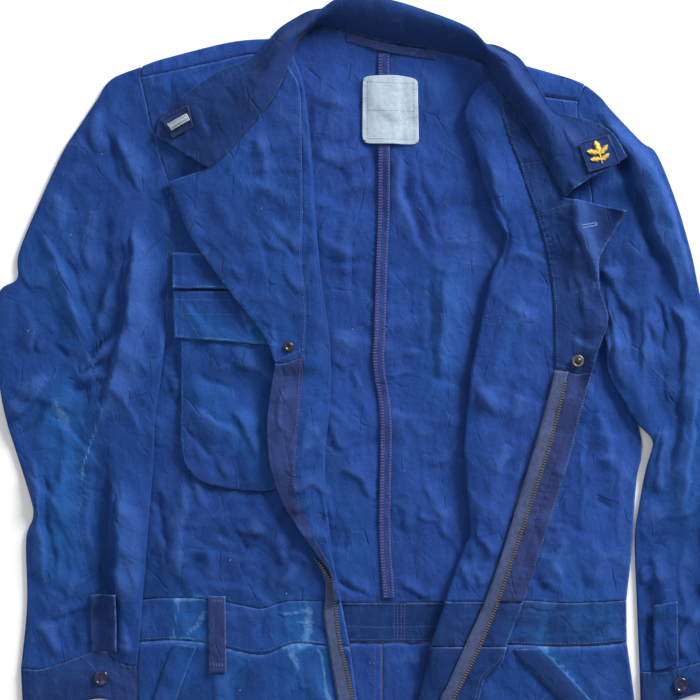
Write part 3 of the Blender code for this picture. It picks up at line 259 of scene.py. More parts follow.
# Smaller creases: how high one stands (a trough is negative), how wide it is on the left and on the right of a
# line that runs down, and its places.
CREASES = tables("""
back
1.6 3 8 304,98 330,103 352,106
1.4 4 8 311,154 340,165 363,175
-1 3 5 296,142 330,143 362,142
1.6 8 4 316,234 336,246 356,255
-1.3 4 4 317,257 336,262 371,257
2.2 9 4 398,150 400,195 424,262
-2 4 6 404,154 408,201 430,262
-1.7 4 5 415,154 428,205 448,254
2.4 5 11 448,254 444,289 440,360 436,400
-1.6 5 5 430,262 431,310 428,360
1.4 5 3 422,344 435,352
1.3 5 3 402,353 422,354
1.4 3 6 331,358 348,370
1.6 3 5 352,368 357,391
1.3 3 5 384,375 418,372
1.8 3 6 330,418 336,442 352,447
2 3 7 340,465 362,483 368,503
1.8 6 3 321,479 336,521
1.8 3 6 393,502 404,513 407,534
1.3 5 3 416,515 438,519
1.4 3 5 441,510 445,538
-2 4 4 334,579 348,588 357,598
2 4 7 348,576 358,588 372,592
1.8 3 6 393,576 412,589 427,594 440,584
-1.2 4 4 370,96 352,120 345,150
1.1 4 7 420,60 428,90 425,128
1.1 7 4 350,200 346,250 352,320
0.9 4 7 400,400 418,440 424,480
-1 4 4 350,395 362,420 366,452
seat
1.6 3 6 376,664 409,662 424,666
-1.4 3 3 365,655 366,671 362,690
1.2 6 3 400,640 420,668 424,700
-1.2 3 4 388,650 392,680 388,706
front_right
2 3 7 194,474 199,499 205,514
1.8 6 3 217,536 229,548
2 4 7 237,520 245,530 269,532
-1.6 3 4 238,530 247,548 258,533
1.6 3 6 247,550 245,575
1.8 6 3 287,530 280,565
1.7 3 6 293,558 280,586
3 9 3 187,470 186,500 180,545 176,573 163,596
-2.2 4 5 153,480 166,532 166,575
1.6 4 7 160,372 172,384 176,400
1 3 6 152,89 175,93
-1 4 6 180,90 188,140 180,200
1.3 4 8 196,80 215,110 220,140
1.4 8 4 205,545 215,570 210,592
-1.4 4 4 262,560 266,582 258,598
front_left
2.4 8 3 596,408 607,430 611,477
-1.8 4 4 591,497 600,502 614,511
1.2 3 2 582,424 583,470 581,524
2.2 7 3 548,547 562,542 556,564 568,589
-2 4 5 532,575 547,592
1.8 4 8 622,460 618,510 622,560
1.5 8 4 590,530 600,560 596,590
-1.6 4 5 575,560 584,580 580,598
turned_right
1.7 8 4 229,180 258,186 301,198
1.9 4 9 264,221 285,236 302,256
1.7 4 8 280,267 292,282 302,299
1.2 6 3 219,268 249,271
1.4 3 5 293,318 306,312
2 4 7 298,451 312,440 321,424
-1.2 3 3 300,469 316,468
2 3 7 289,494 304,488 318,477
1.8 3 6 290,507 301,508 314,500
1.5 4 8 250,128 262,160 270,196
1.3 8 4 210,196 230,214 240,240
-1.3 4 6 240,200 262,240 270,290
1.4 4 8 284,380 280,410 285,440
turned_left
4 4 9 561,173 571,195 576,228 582,243 589,262 597,290
-1.6 4 5 590,205 600,228 596,250
2.2 4 8 468,525 477,537 487,545 486,559
2 3 7 476,569 482,584
1.8 6 3 510,252 528,257 546,262
2.4 3 9 471,388 487,403 501,420
-1.6 5 4 500,210 506,240 496,275
2 4 8 482,150 494,185 505,225
1.4 8 4 520,290 524,330 516,372
1.8 8 4 505,430 500,465 490,500
-1.6 4 4 520,420 512,455 504,480
1.6 4 7 545,420 536,450 524,490
1.8 7 3 566,340 580,344 596,350
1.6 4 7 572,270 582,292 580,320
1.6 4 7 456,560 466,575 468,594
sleeve_right
6.2 2.5 14 134,205 134,250 128,314 120,352 111,378 104,405 92,440
6 2.5 14 121,474 119,545 119,620
-3 8 3 110,462 109,545 110,628
-2.6 8 3 125,232 119,312 110,352
3 7 2.5 42,222 56,256 74,301 87,345
-2 4 5 62,248 84,300 96,338
3 2.5 7 120,268 106,305 90,342
-3.2 3 3.5 118,333 100,346 84,356
-3.2 3 3.5 112,356 94,366 72,376
-3 3 3 52,330 47,344 41,350
-2.6 3 3 54,345 64,352 72,358
2.4 8 3 38,352 46,336 56,324
-1.8 4 4 51,345 62,350 72,358
3.4 8 2.5 71,377 90,362 117,332
-3.4 3 5 64,390 86,387 110,378
4 4 9 6,424 28,402 53,370
-2.8 5 6 14,440 34,420 58,388
3.8 9 2.5 36,446 38,506 42,538 49,596
-1.8 4 4 46,450 47,506 52,545 58,590
2.2 3 6 47,609 57,616 72,610 90,598
2.4 4 9 96,105 94,130 97,158
2.4 4 9 112,132 126,160 144,196
-1.8 5 5 104,120 112,155 124,190
1.8 8 4 70,180 64,215 50,250
2 4 8 92,200 86,240 92,280
-1.6 5 5 112,210 108,260 104,300
2.2 8 4 20,300 34,330 30,360
1.8 4 8 62,420 64,460 60,500
1.8 8 4 96,470 88,510 94,560
1.6 4 8 66,540 72,575 66,605
1.8 4 6 32,620 50,635 56,660
-1.4 4 4 70,622 76,640 74,656
1.8 7 4 122,618 128,640 124,658
sleeve_left
6.2 2.5 15 590,92 602,115 616,139 630,163 640,186 647,207 654,230 665,256 677,283 685,312
4.2 3 10 664,300 680,322 686,350 676,392
-2.6 7 3 596,118 612,146 628,174 640,206 648,236 660,262 672,290
-2.4 4 4 650,290 662,320 664,360
2.2 3 7 596,262 622,300 640,318
-2.2 3 5 640,318 652,340 668,352
3.4 8 4 619,126 640,154 666,198 679,243 689,281
2.6 4 9 606,285 612,330 616,372 628,396
3.4 9 4 696,350 695,376 690,430 686,470 678,517
-2.4 5 5 680,372 676,430 668,480
2.2 4 8 662,420 660,460 652,500
2.4 4 7 637,565 648,585
2.6 4 8 650,550 661,587
-2.6 6 7 646,575 650,610 647,650
2.8 8 4 672,662 692,615 702,598
2 4 8 700,520 708,560 704,600
1.8 8 4 716,560 722,600 716,640
2 4 8 640,300 644,340 640,385
-1.6 4 5 624,300 628,335 634,370
2 8 4 712,400 718,450 716,500
1.8 4 8 684,540 680,580 686,620
collar
1.6 3 7 559,125 572,153 577,172
1.2 6 3 192,104 206,128 214,146
-0.9 4 4 222,84 236,104 240,120
0.9 4 7 250,70 256,84 258,96
-0.9 4 4 588,150 600,140 612,140
chest_pocket
2.2 9 4 186,402 219,425 245,437
-1.8 4 4 185,424 206,450 218,461
1.9 3 6 217,454 222,466 229,479
1.9 3 7 232,405 246,430 258,458
1.4 4 8 230,360 262,372 280,392
-1.1 4 4 196,372 214,384 236,386
pocket_flap
1.4 6 3 189,303 198,320 206,337
1.4 3 6 238,307 245,322 251,337
-0.9 3 3 214,304 222,322 224,340
leg
2 3 7 286,655 300,676 304,704
2 7 3 312,652 318,680 330,710
-1.6 4 4 294,660 308,690 312,720
1.8 4 8 210,660 220,690 214,740
-1.4 4 4 240,660 236,700 246,740
1.6 4 8 580,660 596,690 612,706
1.6 8 4 520,680 530,720 560,760
2 5 9 170,800 240,850 330,870
2 5 9 600,800 540,860 450,890
label
0.7 4 8 372,100 392,118 410,124
""")

# Seams that pull the cloth beside them: how high, how far, and the seam's places.
SEAMS = tables("""
back
0.8 6 378,54 378,200 374,330 380,420 379,530 383,598
0.8 6 391,54 390,200 386,330 392,420 391,530 395,598
0.7 6 300,597 382,599 450,597
front_right
0.9 7 141,78 150,121 170,188 170,226 168,262 166,335
0.7 6 181,70 222,61 252,55
0.9 7 182,340 182,437 196,476 232,488 274,492
1 7 140,597 165,595 207,596 247,603 262,605 288,598 321,598
front_left
0.9 7 577,102 577,117 590,188 597,262 603,340
0.7 6 545,98 575,102
1 7 626,597 568,599 523,597 480,598
turned_right
0.8 6 300,92 302,149 303,226 302,260 307,310 305,354
0.7 6 169,183 181,213 206,259 236,299 265,336 276,363
0.7 5 277,363 291,358 305,354
0.7 5 284,372 284,430 291,469
turned_left
0.8 6 499,93 511,147 519,167 542,240 552,296 554,369
0.7 6 624,212 602,249 596,262 598,290 607,319 590,372
0.7 5 519,166 540,163
0.7 5 542,212 562,206
0.7 5 551,242 576,237
0.7 5 554,368 590,375
0.8 6 505,286 542,294
0.8 6 577,392 556,453 536,515 520,568 510,597
sleeve_right
1 8 141,78 150,121 170,188 170,226 166,335
0.8 6 89,352 97,384 101,409 96,429 87,450 82,465 84,490 80,542 92,594
1.1 9 22,667 40,668 55,664 75,657 94,650 119,660 136,664
sleeve_left
1 8 577,102 577,117 590,188 597,262 603,340
1.1 9 730,655 696,662 677,667 663,671 640,670
leg
0.9 7 175,642 249,655 268,656 294,645 326,647
0.9 7 615,646 580,648 542,648 506,646
0.8 6 254,654 254,700 250,780
waistband_back
0.8 6 160,600 382,602 610,600
chest_pocket
0.8 5 184,342 184,440 188,461 198,474 210,481 240,487 272,487
""")

# How bleached the cloth is: how much, how wide, and the places.
FADES = table("""
1 1.2 173.5,254 190,253.5 208,253.5
0.9 1.2 174,254 173.5,270 173.5,287
1 1.2 174,287 200,287.5 226,287.5
0.9 1.3 175,292 175,314 175.5,338
0.55 12 184,604 190,622 186,636
0.5 10 200,600 204,620 206,636
1 2.2 178,598 176,612 175,628 172,642
0.9 1.8 172,640 190,637 207,641
0.8 2 188,632 196,624 205,612
0.6 11 280,606 286,622 284,640
0.65 12 296,604 308,625 304,640
0.55 5 308,602 309,622 308,640
0.8 1.8 262,612 259,628 262,646
0.85 1.6 284,645 306,641 322,643
0.6 13 296,652 306,676 318,704
0.5 9 320,650 326,672 332,700
0.6 3 292,652 296,668 288,690
0.8 2.2 318,648 324,672 330,700
1 2.6 543,600 543.5,622 540,636 544,648
0.45 9 543,602 543,622 542,644
0.7 1.2 506,616 560,614 620,617
0.6 1.2 510,636 560,634 622,636
0.3 1.2 268,613 290,611 318,612
0.3 1.2 270,623 292,621 320,622
0.4 12 585,606 612,612 622,630
1 2.4 512,629 520,627 527,631
0.5 9 512,628 520,629 527,630
0.72 24 62,405 66,480 60,560
0.22 10 56,408 76,430 84,470
0.95 1.6 100,402 96,428 88,450 84,478
0.35 22 40,260 60,300 80,330
0.45 14 186,315 210,330 260,336
0.85 1.3 176,337 236,341.5 290,347
0.85 1.3 182,340 182,440 186,462
0.5 4 176,598 210,596 250,603
0.45 10 185,660 178,690 168,720
0.6 7 541,646 561,667 592,701 615,729
1 1.8 538,646 561,666 592,700 615,729
0.85 1.4 508,645 528,668 540,690
0.5 5 515,313 508,340 499,365
0.45 10 240,655 230,680 226,700
0.4 18 210,400 230,430 262,440
0.45 12 600,600 606,625 600,640
0.35 16 570,560 575,600 572,640
0.35 20 696,380 690,440 684,500
0.6 10 404,8 430,12 465,26
0.85 1.6 174,648 160,672 149,700 142,730
0.35 20 448,270 442,330 438,390
0.3 22 340,470 360,520 350,560
0.5 9 60,672 90,664 110,668
0.5 8 690,668 672,678 664,690
0.8 1.3 582,424 583,470 581,524
0.75 1.3 594,372 578,425 552,520 524,600
0.7 1.3 629,408 633,450 632,500
0.8 1.4 92,596 109,593
0.75 1.3 646,168 662,205 674,250 684,300
0.6 1.3 119,487 119,545 119,609
""")

# Rows of stitches: the piece, the thread, how far each row lies to the right of a line that runs down, the line.
STITCHES = table("""
back_seam_strip pink 0.8 1.8 2.8 3.8 9.6 10.6 378,54 378,200 376,260 374,330 373,366 380,420 379,530 383,596
front_right dark 2 8 141,80 147,105 150,121 162,162 170,188 170,226 168,262
front_left dark -2 -8 577,104 577,117 582,150 590,188
back dark 2 8 146,75 181,67.5 222,58.5 252,52.5 288,53.5
back dark -2 574,100 545,95.5 515,89.5
chest_pocket dark 1.6 8 182.5,342 182.5,440 186,462 196,476 209,483 240,489 272,489 289,478
pocket_flap stitch -1.6 -9 176,291 297,292
pocket_flap stitch 1.8 176,338 236,342.5 297,347
pocket_flap stitch 1.2 8.5 174.5,294 175.5,336
pocket_flap stitch 0 184,314 240,315 297,317
name_tape stitch -1.2 175,253.5 297,254
name_tape stitch 1.2 175,288.6 297,289.6
name_tape stitch 1.2 173,255 173,287
facing_right stitch -2 301,100 302,149 303,226 302,260 307,310 305,350
facing_right dark 3.5 9 171,188 181,213 191,236 206,259 236,299 265,336
facing_right pink 2 278,362 291,357 304,351
front_placket_right dark 4 14 275,372 270,402 268,430 272,466 286,504
front_placket_right pink -2 303,360 300,410 297,440 296,470 300,500
facing_left stitch 2 500,100 501,115 511,147 519,167 542,240 552,296 554,364
facing_left stitch 0 519,166 541,163
facing_left stitch 0 542,212 562,207
facing_left dark 0 551,242 577,237
facing_left stitch 1 556,366 574,369 589,371
facing_left dark -3 621,216 603,248 596,263 598,290 606,319 595,352
front_placket_left stitch -1.4 589,378 580,410 569,453 550,515 534,564
front_placket_left pink 3 554,376 544,405 526,470 515,500 511,522 501,554 488,594
front_left dark 0 6 505,286 524,290 542,294
front_left stitch 0 486,316 497,315 498,323 487,324 486,317
front_left dark 0 517,329 529,373
waistband_front_right dark -3.5 -12 -22 143,600 165,598 207,599 247,606 262,608 288,602 318,601
waistband_front_right stitch 2.5 141,641 175,639 207,642 249,651 268,651 294,642 324,644
waistband_front_left dark 3.5 12 22 624,601 568,603 528,601
waistband_front_left pink -2.5 622,642 580,645 542,645 512,643.5
belt_loop dark 2 15 209,598 210,668
belt_loop pink 0 1.2 2.4 211,664 226,664
belt_loop pink 0 1.2 210,600 225,600
sleeve_right stitch 2 89,352 97,384 101,409 96,429 87,450 82,465 84,490 76,516 80,542 85,564 92,592
sleeve_right dark -5.5 89,352 97,384 101,409 96,429 87,450 82,465 84,490
sleeve_placket_right dark 2 24 92.5,597 92.5,648
sleeve_placket_right stitch -1 94,594 116,592.5
sleeve_placket_left dark 2 22 652.5,607 653,662
cuff_right dark -3 -9 26,669 40,669 55,665 75,658 94,651 106,651 119,661 133,665
cuff_right dark 4 28,709 60,708 90,699 105,698 120,704 131,706
cuff_left dark 3 9 727,657 696,664 677,669 663,672 644,671
cuff_left dark -4 731,685 700,692 687,696 670,701 645,703
hip_pocket_welt_right dark 2.5 8 175,646 167,662 158,687 153,703 147,730
hip_pocket_welt_left dark -2.5 -8 543,650 561,668 592,702 615,730
trouser_front_right dark -1 5 254,656 254,700 250,780 246,900 240,1100
trouser_front_left dark -2 5 600,1740 590,1350 596,950 604,760
waistband_back dark -2 339,602 382,603 444,602
waistband_back stitch -2 343,624 390,625 436,624
waistband_back stitch 2 345,641 390,641.5 432,641
waistband_back pink 0 3.5 7 10.5 394,605 394,638
trouser_back_right pink -6 381,645 381,700 381,780
trouser_back_right pink 0 1.3 370,663 381,663
trouser_back_left dark 5 382,645 382,700 382,780
label grey -4.5 368,78 413,80
label grey 4 368,143 412,144.5
label grey 4.8 363,83 362.5,138
label grey -4.5 418,84 418.5,139
label grey 0 368,111 413,112
hanger_loop dark -1.2 -6 349,34 370,41 400,47.5 434,52.5
collar dark -1 163,134 168,122 182,108 215,83 237,72 256,64 269,52 282,38
collar dark 1 512,62 524,76 534,92 551,118 570,123 588,128 607,139 620,158
collar dark 1 300,20 345,18 368,29 395,35 422,39 449,43 474,48
zip_tape_right stitch 2.5 317,582 321,597 324,615 328,640 332,666 338,700 352,780
zip_tape_left dark 2.5 551,385 538,430 526,470 511,519 499,557 483,602 464,644 446,685 439,700 416,780
fly_left pink -3 504,650 499,662 484,675 476,700 447,778
""")

# Where lint lies, and on which piece.
LINT = table("""
sleeve_right 102,154 127,150 60,420 72,236 30,330
sleeve_left 675,417 690,480 700,600
facing_right 225,282 262,210
back 420,210 352,330 404,470
front_right 287,592 230,560
trouser_front_right 240,690 300,690
""")


# ---------------------------------------------------------------------------------------- plan geometry
TINY = 1e-9


def smooth_line(points, per_span=12):
    """Many points on a smooth curve through the given ones."""
    given = np.array(points, float)
    padded = np.vstack([[2 * given[0] - given[1]], given, [2 * given[-1] - given[-2]]])
    t = np.linspace(0, 1, per_span, endpoint=False)[:, None]
    spans = [
        0.5 * (2 * b + (c - a) * t + (2 * a - 5 * b + 4 * c - d) * t**2 + (3 * b - a - 3 * c + d) * t**3)
        for a, b, c, d in zip(padded, padded[1:], padded[2:], padded[3:])
    ]
    return np.vstack([*spans, given[-1:]])


def running(line):
    """How far along the line each of its points is."""
    return np.concatenate([[0], np.cumsum(np.linalg.norm(np.diff(line[:, :2], axis=0), axis=1))])


def evenly(line, steps):
    run = running(line)
    at = np.linspace(0, run[-1], steps + 1)
    return np.column_stack([np.interp(at, run, line[:, k]) for k in range(line.shape[1])])


def spaced(points, steps):
    """steps + 1 points, evenly spaced along the smooth curve through the given ones."""
    return evenly(smooth_line(points), steps)


def joined(*lines):
    return np.vstack([lines[0], *[line[1:] for line in lines[1:]]])


def unit(steps, least=0.0):
    """The steps, each made one long. The least keeps a step of no length from failing."""
    return steps / (np.linalg.norm(steps, axis=-1)[..., None] + least)


def to_right(steps):
    """Each step turned to the right of its run down the sheet."""
    return np.column_stack([steps[:, 1], -steps[:, 0]])


def patch(top, bottom, first, last, fade=1):
    """A grid of plan places between four outlines that meet at their ends.

    The rows start with the top's bend and end with the bottom's. A higher fade makes both die out sooner.
    """
    u = np.linspace(0, 1, len(top))[None, :, None]
    v = np.linspace(0, 1, len(first))[:, None, None]
    ruled = (1 - u) * first[:, None] + u * last[:, None]
    top_bend, bottom_bend = (line[None] - (1 - u) * line[0] - u * line[-1] for line in (top, bottom))
    return ruled + (1 - v) ** fade * top_bend + v**fade * bottom_bend


def between(first, last, steps):
    """A grid with rows that run from each point of one line to the same point of the other."""
    share = np.linspace(0, 1, steps + 1)[None, :, None]
    return first[:, None] * (1 - share) + last[:, None] * share


def ease(share):
    share = np.clip(share, 0, 1)
    return share * share * (3 - 2 * share)


def within(values, low, high, reach):
    """1 between low and high, eased to 0 at both."""
    return ease((values - low) / reach) * ease((high - values) / reach)


def off_edges(plan):
    """How far each place is from the first and from the last one of its row."""
    return [np.linalg.norm(plan - plan[:, edge], axis=-1) for edge in (slice(1), slice(-1, None))]


def beside(plan, points, reach):
    """(mask, distance, side, run, length) of the plan places within reach of the smooth line through points.

    Side is positive on the sheet's right of a line that runs down.
    """
    line = smooth_line(points, 6) if len(points) > 2 else np.array(points, float)
    low, high = line.min(0) - reach, line.max(0) + reach
    mask = ((plan > low) & (plan < high)).all(axis=-1)
    near = plan[mask]
    best, side, along = np.full(len(near), np.inf), np.zeros(len(near)), np.zeros(len(near))
    run = running(line)
    for k, (a, b) in enumerate(zip(line, line[1:])):
        step = b - a
        t = np.clip(((near - a) @ step) / (step @ step + TINY), 0, 1)
        off = near - a - t[:, None] * step
        distance = np.linalg.norm(off, axis=1)
        closer = distance < best
        best[closer] = distance[closer]
        side[closer] = (step[1] * off[:, 0] - step[0] * off[:, 1])[closer]
        along[closer] = (run[k] + t * (run[k + 1] - run[k]))[closer]
    return mask, best, np.sign(side), along, run[-1]


FOLD_END, FOLD_MORE = 0.55, 0.45  # a fold's height at its ends, and how much the middle adds
CREST, FOOT = 0.14, 1.2  # how round a crease's crest is, and how it flattens out at its foot
SPREAD, LIFTED = 1.8, 1.5  # a crease's gentle side spreads wider than drawn, and its crest stands higher
GENTLE = 6  # a side that is drawn this wide or wider is gentle
TAPER = 0.28  # share of a crease's length in which each end dies out
WAVES = 6  # broad ripples under the random creases
STITCH_WAVE, GROOVE = 6.4, 1.5  # the pitch of a seam's puckers, and how wide its stitches' groove is


def ridges(plan, folds):
    """The height that soft folds add at each plan place. A fold is highest in the middle of its length."""
    height = np.zeros(plan.shape[:-1])
    for rise, half_width, ends in folds:
        start = np.array(ends[0])
        run = np.array(ends[1]) - start
        along = np.clip(((plan - start) @ run) / (run @ run), 0, 1)
        off = np.linalg.norm(plan - start - along[..., None] * run, axis=-1)
        bell = 0.5 * (1 + np.cos(np.pi * np.minimum(off / half_width, 1)))
        height += rise * bell * (FOLD_END + FOLD_MORE * np.sin(np.pi * along))
    return height


def wobbled(plan):
    """Plan places pushed about a little, so that no crease runs true."""
    across, down = plan[..., 0], plan[..., 1]
    shift = [
        1.3 * np.sin(down / 9.0 + np.sin(across / 17.0)) + 0.7 * np.sin(down / 3.7 + across / 11.0),
        1.3 * np.sin(across / 8.0 + np.sin(down / 15.0)) + 0.7 * np.sin(across / 4.1 + down / 13.0),
    ]
    return plan + np.stack(shift, axis=-1)


def relief(plan, creases):
    """The height of the given creases. Each is (rise, left width, right width, places), and runs as drawn."""
    height = np.zeros(plan.shape[:-1])
    loose = wobbled(plan)
    for rise, left, right, points in creases:
        left, right = (width if width < GENTLE else width * SPREAD for width in (left, right))
        mask, distance, side, along, length = beside(loose, points, max(left, right))
        taper = within(along, 0, length, TAPER * length)
        uneven = 0.85 + 0.15 * np.sin(along / 6.0 + points[0][0])
        width = np.where(side > 0, right, left) * (0.45 + 0.55 * taper)
        share = np.hypot(distance / width, CREST) - CREST
        height[mask] += LIFTED * rise * np.clip(1 - share, 0, 1) ** FOOT * taper * uneven
    return height


def crumple(plan, seed, count, rise, long=95.0):
    """Random creases all over a piece, as worn cotton keeps from its washing: steep on one side, wide on the other."""
    rng = np.random.default_rng(seed)
    low, high = plan.reshape(-1, 2).min(0), plan.reshape(-1, 2).max(0)
    creases = []
    for _ in range(count):
        start = rng.uniform(low, high)
        turn = rng.normal(0.6, 0.9)
        reach = rng.uniform(0.2, 1.0) ** 1.5 * long + 10
        end = start + reach * np.array([math.cos(turn), math.sin(turn)])
        bow = (start + end) / 2 + rng.normal(0, reach * 0.08, 2)
        steep, soft = rng.uniform(2.8, 4.4), rng.uniform(6.0, 15.0)
        widths = (steep, soft) if rng.random() < 0.5 else (soft, steep)
        creases.append((rng.choice([-0.8, 1.0]) * rng.uniform(0.3, 1) * rise, *widths, [start, bow, end]))
    height = relief(plan, creases)
    for _ in range(WAVES):
        turn, pitch, phase = rng.uniform(0, math.pi), rng.uniform(22, 70), rng.uniform(0, 6.28)
        wave = (plan[..., 0] * math.cos(turn) + plan[..., 1] * math.sin(turn)) * 2 * math.pi / pitch + phase
        height += 0.12 * rise * np.sin(wave + 1.5 * np.sin(plan[..., 0] / 23 + plan[..., 1] / 31))
    return height


def pucker(plan, seams):
    """The small waves that a tight seam leaves in the cloth beside it, and the groove of its stitches."""
    height = np.zeros(plan.shape[:-1])
    for rise, reach, points in seams:
        mask, distance, side, along, length = beside(plan, points, 2.6 * reach)
        wave = np.sin(along * 2 * math.pi / STITCH_WAVE + 1.7 * np.sin(along / 13) + 0.5 * side)
        strong = 0.55 + 0.45 * np.sin(along / 19 + points[0][1])
        height[mask] += rise * strong * wave * np.exp(-((distance / reach) ** 2)) * ease(distance / 1.4)
        height[mask] -= 0.45 * rise * np.exp(-((distance / GROOVE) ** 2))
    return height


def worn(plan, piece, seed, count, rise, seams=()):
    """How the piece's drawn creases, its random ones and its seams' puckers lift the cloth."""
    return (relief(plan, CREASES.get(piece, ())) + crumple(plan, seed, count, rise)
            + pucker(plan, seams or SEAMS.get(piece, ())))


def with_height(plan, height, tone=0.0):
    """(across, down, height, tone). Tone is how far a crease lifts the cloth; the colour follows it with a painted
    highlight on ridges and painted shade in troughs.
    """
    columns = [np.broadcast_to(value, plan.shape[:-1])[..., None] for value in (height, tone)]
    return np.concatenate([plan[..., :2], *columns], axis=-1)


class Pile:
    """How high the cloth lies already, on a square grid over the drafting sheet."""

    CELL, EDGE, SIZE = 2.0, 60.0, (1900, 880)

    def __init__(self):
        self.top = np.zeros([int(side / self.CELL) for side in self.SIZE])

    def cells(self, plan):
        """(row, column) of each plan place, in cells."""
        return np.stack([plan[..., 1] + self.EDGE, plan[..., 0] + self.EDGE]) / self.CELL

    def add(self, *grids, thickness=PLY):
        for grid in grids:
            longest = [np.linalg.norm(np.diff(grid[..., :2], axis=axis), axis=-1).max() for axis in (0, 1)]
            rows, columns = (np.linspace(0, 1, 2 + int(step / self.CELL)) for step in longest)
            for v in rows:
                for u in columns:
                    between_rows = grid[:-1] * (1 - v) + grid[1:] * v
                    points = between_rows[:, :-1] * (1 - u) + between_rows[:, 1:] * u
                    at = tuple(np.rint(self.cells(points)).astype(int))
                    np.maximum.at(self.top, at, points[..., 2] + thickness / 2)

    def rest(self, plan, reach, soften=6.0):
        """The height that clears all that lies within reach of each plan place, evened out."""
        wide = int(math.ceil((reach + soften) / self.CELL))
        half = max(1, int(math.ceil(soften / self.CELL)) // 2)
        field = self.top
        for axis, cells, pick in [(0, wide, np.max), (1, wide, np.max), *[(k, half, np.mean) for k in (0, 0, 1, 1)]]:
            field = pick([np.roll(field, shift, axis) for shift in range(-cells, cells + 1)], axis=0)
        row, column = self.cells(plan)
        i, j = np.floor(row).astype(int), np.floor(column).astype(int)
        v, u = row - i, column - j
        upper, lower = (field[k, j] * (1 - u) + field[k, j + 1] * u for k in (i, i + 1))
        return upper * (1 - v) + lower * v

    def under(self, centre, reach):
        """The height that a small hard part rests at."""
        return float(self.rest(np.array([centre], float), reach, 2)[0])

    def laid(self, plan, reach, thickness=PLY, soften=6.0, creases=0.0):
        """The grid with the middle of its ply resting on what lies there."""
        return with_height(plan, self.rest(plan, reach, soften) + SEAM + thickness / 2 + creases, creases)


# -------------------------------------------------------------------------------------- making pieces
TOPS, TREES = {}, {}  # each cloth piece by its node, for what is stitched on it, and the same ready for rays


def in_metres(points):
    """The part's own places of (across, down, height) points."""
    points = np.asarray(points, float)
    return np.stack([points[..., 0] - ORIGIN[0], ORIGIN[1] - points[..., 1], points[..., 2]], axis=-1) * MM


def fades(plan):
    """How bleached the cloth is at each plan place."""
    bleached = np.zeros(plan.shape[:-1])
    for strength, wide, points in FADES:
        mask, distance, *_ = beside(wobbled(plan), points, 2.4 * wide)
        bleached[mask] += strength * np.exp(-((distance / wide) ** 2))
    return np.clip(bleached, 0, 1)


def running_max(grid, axis):
    """The longest row or column of a grid, in metres."""
    return np.linalg.norm(np.diff(grid[..., :3], axis=axis), axis=-1).sum(axis=axis).max() * MM


def mesh_of(name, grids):
    """(mesh, flat width and length, middle area) of the grids, joined wherever they share points.

    It carries tone, bleach and edge as point attributes, which the cloth's material reads.
    """
    faces, edges, start = [], [], 0
    for grid in grids:
        rows, columns = grid.shape[:2]
        edge = np.ones((rows, columns))
        edge[1:-1, 1:-1] = 0
        edges.append(edge.ravel())
        at = start + np.arange(rows * columns).reshape(rows, columns)
        faces.append(np.stack([at[:-1, :-1], at[1:, :-1], at[1:, 1:], at[:-1, 1:]], axis=-1).reshape(-1, 4))
        start += rows * columns
    points = np.vstack([grid.reshape(-1, 4) for grid in grids])
    _, kept, index = np.unique(np.round(points[:, :3], 3), axis=0, return_index=True, return_inverse=True)
    index = index.ravel()
    shared = np.bincount(index)[index] > 1
    faces = [list(dict.fromkeys(face)) for face in index[np.vstack(faces)].tolist()]
    mesh = bpy.data.meshes.new(name)
    mesh.from_pydata(in_metres(points[kept]).tolist(), [], [face for face in faces if len(face) > 2])
    values = {
        "tone": points[kept, 3],
        "edge": np.where(shared, 0, np.concatenate(edges))[kept],
        "bleach": fades(points[kept, :2]),
    }
    for key, value in values.items():
        mesh.attributes.new(key, "FLOAT", "POINT").data.foreach_set("value", value.astype(np.float32))
    mesh.shade_smooth()
    area = sum(polygon.area for polygon in mesh.polygons)
    width = max(running_max(grid, 1) for grid in grids)
    length = max(sum(running_max(grid, 0) for grid in grids) if len(grids) > 1 else 0, running_max(grids[0], 0))
    return mesh, width, length, area


def placed(name, data):
    """A new object of the scene."""
    made = bpy.data.objects.new(name, data)
    bpy.context.scene.collection.objects.link(made)
    return made


def add_piece(mesh, look, nodes=(), wall=0.0):
    """A piece that rides on the suit, with a wall about its mesh if it is cloth. It stands for the nodes."""
    mesh.materials.append(LOOKS[look])
    made = placed(mesh.name, mesh)
    if wall:
        skin = made.modifiers.new("Wall", "SOLIDIFY")
        skin.thickness, skin.offset = wall * MM, 0
    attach(made, "suit")
    if nodes:
        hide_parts(*nodes)
    return made


def sew(node, grids, look="cloth", thickness=PLY):
    """One sewn piece: a wall of even thickness about its grids of middle points. It stands for its solid."""
    mesh, width, length, area = mesh_of(f"{node}_cloth", grids)
    made = TOPS[node] = add_piece(mesh, look, [node], thickness)
    if min(width, length) >= NARROWEST_CUT:
        width = min(width, area / (LEAST_SHARE * length))


def bend(lower_edge, lower_next, upper_edge):
    """The middle of a turn from one sheet's edge to the edge above it, and how far both edges draw back."""
    away = unit(lower_edge[:, :2] - lower_next[:, :2])
    radius = (upper_edge[:, 2] - lower_edge[:, 2])[:, None] / 2
    turn = []
    for angle in (-60, -30, 0, 30, 60):
        out, up = math.cos(math.radians(angle)) - 1, math.sin(math.radians(angle)) + 1
        turn.append(np.column_stack([
            lower_edge[:, :2] + away * radius * out, lower_edge[:, 2:3] + radius * up, lower_edge[:, 3:]
        ]))
    return -away * radius, np.stack(turn, axis=1)


def drawn_back(sheet, column, inward, back):
    """The sheet with its edge column drawn back, and the columns beside it less and less."""
    sheet = sheet.copy()
    for k, share in enumerate((1, 0.7, 0.4, 0.15)):
        sheet[:, column + inward * k, :2] += back * share
    return sheet


def turned_sheet(lower, upper):
    """A sheet whose last column turns up and back as the first column of the upper sheet."""
    back, turn = bend(lower[:, -1], lower[:, -2], upper[:, 0])
    return np.concatenate([drawn_back(lower, -1, -1, back), turn, drawn_back(upper, 0, 1, back)], axis=1)


